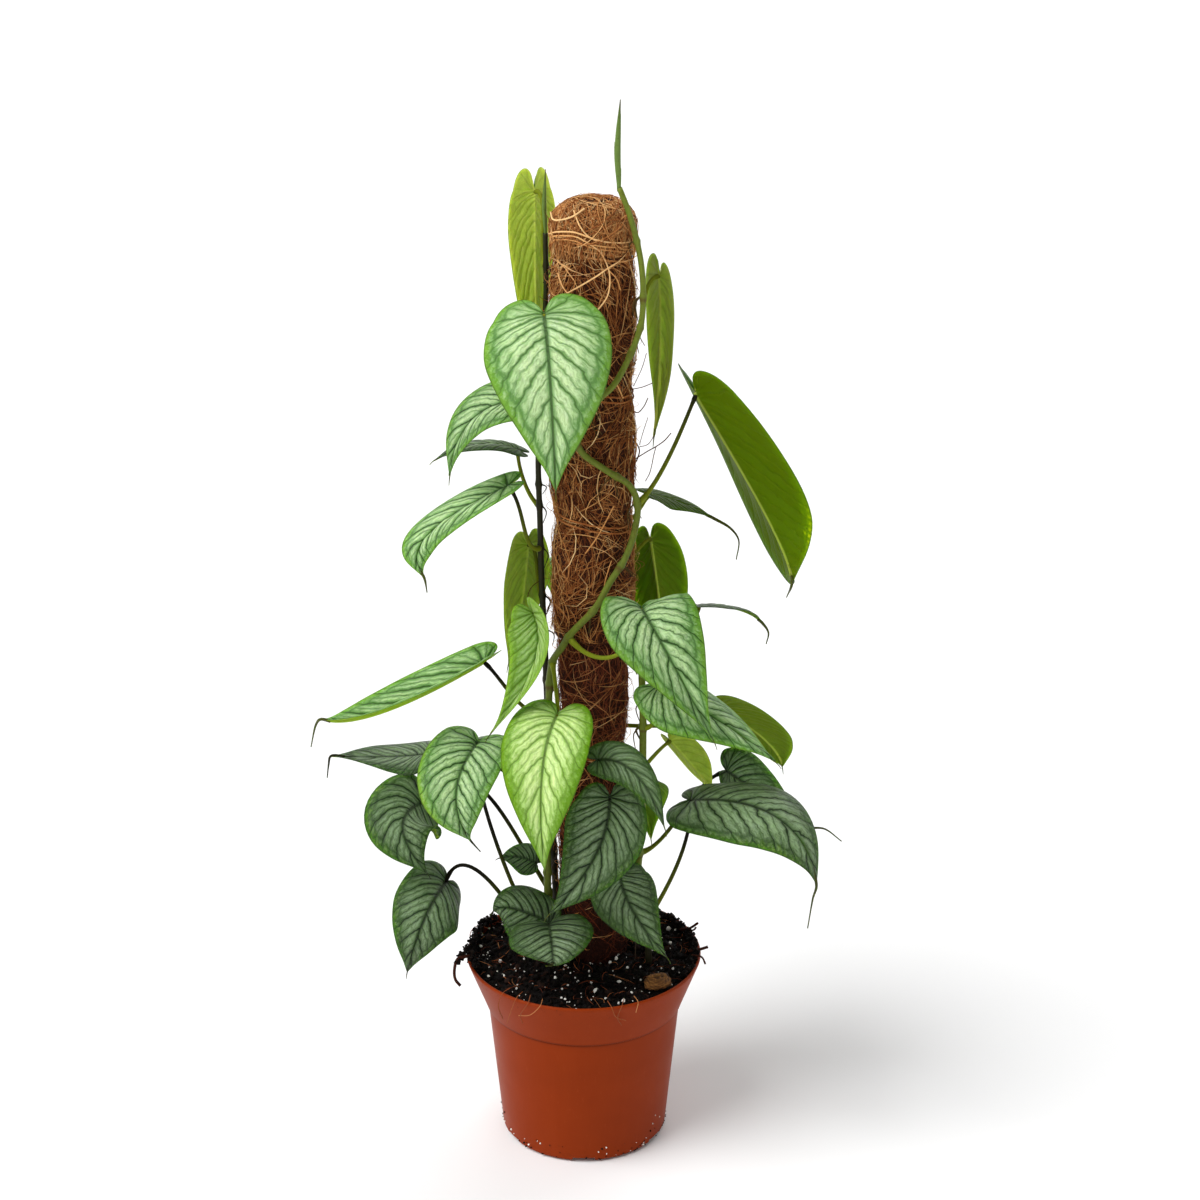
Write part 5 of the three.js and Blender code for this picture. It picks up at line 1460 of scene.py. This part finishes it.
def pot_material():
    """Terracotta-coloured plastic: clouded, with painted shade at the step, scuffs, and soil dust at rim and
    base.
    """
    s = Shade("pot_plastic", specular=0.05)
    z = s.split(s.place())[2]
    cloud = s.noise(s.place((0.02, 0.02, 0.03)), 1.3, 4)
    streak = s.noise(s.place((0.12, 0.12, 0.012)), 1.5, 4)
    base = s.mix(cloud, colour(138, 49, 10), colour(122, 41, 7))
    base = s.mix(s.sum("MULTIPLY", streak, 0.3), base, colour(148, 58, 18))
    # painted shade: a dark band along the step under the collar
    step_shade_gap = s.sum("ABSOLUTE", s.sum("SUBTRACT", z, POT_HEIGHT - POT_COLLAR - 0.6))
    base = s.mix(s.band(step_shade_gap, 0.2, 1.6, 0.6, 0.0), base, colour(74, 24, 5))
    dust = s.band(s.noise(s.place((0.35, 0.35, 0.25)), 1.6, 6, 0.7), 0.56, 0.74)
    grime = s.sum("MULTIPLY", dust, s.sum("MAXIMUM", s.band(z, 84, 99), s.band(z, 14, 1)))
    base = s.mix(s.sum("MULTIPLY", grime, 0.62), base, colour(52, 28, 14))
    scuff = s.band(s.noise(s.place((0.9, 0.9, 0.12)), 1.2, 5, 0.65), 0.6, 0.8)
    base = s.mix(s.sum("MULTIPLY", scuff, 0.2), base, colour(184, 98, 58))
    grain = s.noise(s.place(), 2.4, 3)
    rings = s.noise(s.join(0.0, 0.0, s.sum("MULTIPLY", z, 1.4)), 1.0, 3)
    height = s.sum("MULTIPLY_ADD", grain, 0.3, s.sum("MULTIPLY", rings, 0.25))
    rough = s.sum("MULTIPLY_ADD", s.sum("ADD", cloud, grime), 0.2, 0.3)
    return s.finish(base, height, 0.12, 0.5, rough)


def soil_material():
    """Dark damp crumbs, some of them brown."""
    s = Shade("potting_soil", specular=0.1)
    crumb = s.noise(s.place(), 0.9, 6, 0.7)
    tone = s.sum("MULTIPLY_ADD", crumb, 0.6, s.sum("MULTIPLY", s.look("tone"), 0.5))
    base = s.stops(tone, [(0.15, colour(5, 4, 4)), (0.5, colour(15, 10, 8)), (0.8, colour(42, 26, 20)),
                          (1.0, colour(84, 56, 42))])
    rough = s.band(s.noise(s.place(), 0.35, 4), 0.35, 0.65, 0.55, 0.95)
    return s.finish(base, s.noise(s.place(), 2.6, 4), 0.5, 0.9, rough)


def perlite_material():
    """White mineral grains, stained by soil."""
    s = Shade("perlite_grains", roughness=0.85, specular=0.25)
    stain = s.band(s.noise(s.place(), 1.4, 4), 0.45, 0.75)
    base = s.mix(s.sum("MULTIPLY", s.look("tone"), 0.35), colour(244, 242, 236), colour(206, 196, 178))
    base = s.mix(s.sum("MULTIPLY", stain, 0.35), base, colour(120, 98, 76))
    return s.finish(base, s.noise(s.place(), 5.0, 3), 0.2, 0.8)


def bark_material():
    """Brown bark in thin layers."""
    s = Shade("bark", roughness=0.85, specular=0.2)
    layer = s.noise(s.place((0.4, 0.4, 3.0)), 1.0, 5)
    tones = [(0.32, colour(40, 25, 12)), (0.5, colour(98, 62, 27)), (0.7, colour(150, 104, 52))]
    base = s.stops(layer, tones)
    return s.finish(base, s.noise(s.place(), 1.8, 5), 0.5, 0.9)


def floor_material():
    """Plain matt floor, nearly white."""
    s = Shade("studio_floor", roughness=0.9, specular=0.0)
    return s.finish(colour(FLOOR_GREY, FLOOR_GREY, FLOOR_GREY))


def studio_world():
    """Soft light from above, with a bright wall of light all round at the height of the horizon."""
    world = bpy.data.worlds.new("studio")
    world.use_nodes = True
    nodes, links = world.node_tree.nodes, world.node_tree.links
    way = nodes.new("ShaderNodeTexCoord")
    parts = nodes.new("ShaderNodeSeparateXYZ")
    wall = nodes.new("ShaderNodeMapRange")
    for name, value in WALL_OF_LIGHT.items():
        wall.inputs[name].default_value = value
    links.new(way.outputs["Generated"], parts.inputs[0])
    links.new(parts.outputs["Z"], wall.inputs["Value"])
    links.new(wall.outputs[0], nodes["Background"].inputs["Strength"])
    nodes["Background"].inputs["Color"].default_value = (1, 1, 1, 1)
    return world


def core_material():
    """Plain sawn wood."""
    s = Shade("core_wood", roughness=0.75, specular=0.2)
    grain = s.noise(s.place((0.8, 0.8, 0.05)), 1.2, 5)
    return s.finish(s.mix(grain, colour(178, 142, 98), colour(132, 98, 62)), grain, 0.3, 0.5)


def soft_sun(name, place, strength, angle):
    """Far light from a place towards the object, as wide as angle in degrees."""
    data = bpy.data.lights.new(name, "SUN")
    data.energy, data.angle = strength, math.radians(angle)
    light = bpy.data.objects.new(name, data)
    light.location = place
    light.rotation_euler = (-Vector(place)).to_track_quat("-Z", "Y").to_euler()
    bpy.context.scene.collection.objects.link(light)


# All pieces
STEM_MATERIALS = {
    "vine_green": stem_material("vine_green", colour(132, 148, 50), colour(72, 84, 24), colour(84, 58, 26)),
    "stem_dark": stem_material("stem_dark", colour(80, 90, 36), colour(32, 30, 18), colour(52, 36, 22)),
    "spear_green": stem_material("spear_green", colour(118, 146, 66), colour(84, 108, 48),
                                 colour(70, 70, 36)),
}
COIR_STOPS = [(0.05, colour(40, 18, 9)), (0.3, colour(106, 54, 26)), (0.55, colour(166, 100, 50)),
              (0.8, colour(220, 162, 98)), (1.0, colour(242, 204, 146))]
DARK_COIR_STOPS = [(0.05, colour(40, 17, 10)), (0.35, colour(104, 48, 28)), (0.6, colour(146, 80, 46)),
                   (0.85, colour(190, 130, 80)), (1.0, colour(216, 170, 114))]

for leaf_seed, (leaf_name, leaf) in enumerate(LEAVES.items(), 1):
    make_leaf(leaf_name, leaf_seed, *leaf)
for vine_name in VINES:
    make_vine(vine_name)
for spear_name in SPEARS:
    make_spear(spear_name, STEM_MATERIALS["spear_green"])

coir_light = fibre_material("coir_light", COIR_STOPS)
coir_dark = fibre_material("coir_dark", DARK_COIR_STOPS)
binding_fibre = fibre_material("binding_strand", COIR_STOPS, 0.7)
make_sleeve("pole_coir_upper", "coir_sleeve_upper", "coir_light", POLE_JOINT, POLE_TOP,
            61, UPPER_STRANDS, (0.42, 0.17), coir_light)
make_sleeve("pole_coir_lower", "coir_sleeve_lower", "coir_dark", COIR_FOOT, POLE_JOINT - SLEEVE_GAP,
            62, LOWER_STRANDS, (0.38, 0.17), coir_dark)
make_crown(coir_light)
make_strays(coir_light)
for binding_name, binding_height in BINDINGS.items():
    make_binding(binding_name, binding_height, binding_fibre)

damp_soil, perlite = soil_material(), perlite_material()
make_soil(damp_soil)
make_perlite(perlite)
make_specks(damp_soil, perlite)
make_litter(fibre_material("soil_litter", DARK_COIR_STOPS))
make_chip(bark_material())
make_pot(pot_material())

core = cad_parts["stake_core"]
core.data.materials.clear()
core.data.materials.append(core_material())

# Floor, light and camera
floor_mesh = bpy.data.meshes.new("floor")
corners = [(x * FLOOR_REACH, y * FLOOR_REACH, FLOOR_LEVEL) for x, y in ((-1, -1), (1, -1), (1, 1), (-1, 1))]
floor_mesh.from_pydata(corners, [], [(0, 1, 2, 3)])
floor_mesh.materials.append(floor_material())
floor = bpy.data.objects.new("floor", floor_mesh)
bpy.context.scene.collection.objects.link(floor)
for sun in SUNS:
    soft_sun(*sun)
bpy.context.scene.world = studio_world()
bpy.context.scene.view_settings.view_transform = "Standard"

camera_data = bpy.data.cameras.new("photo_camera")
camera_data.lens, camera_data.sensor_width = CAMERA_LENS, CAMERA_SENSOR
camera = bpy.data.objects.new("photo_camera", camera_data)
camera.location = CAMERA_PLACE
camera.rotation_euler = (math.radians(90 - CAMERA_DOWN), 0, 0)
bpy.context.scene.collection.objects.link(camera)
bpy.context.scene.camera = camera
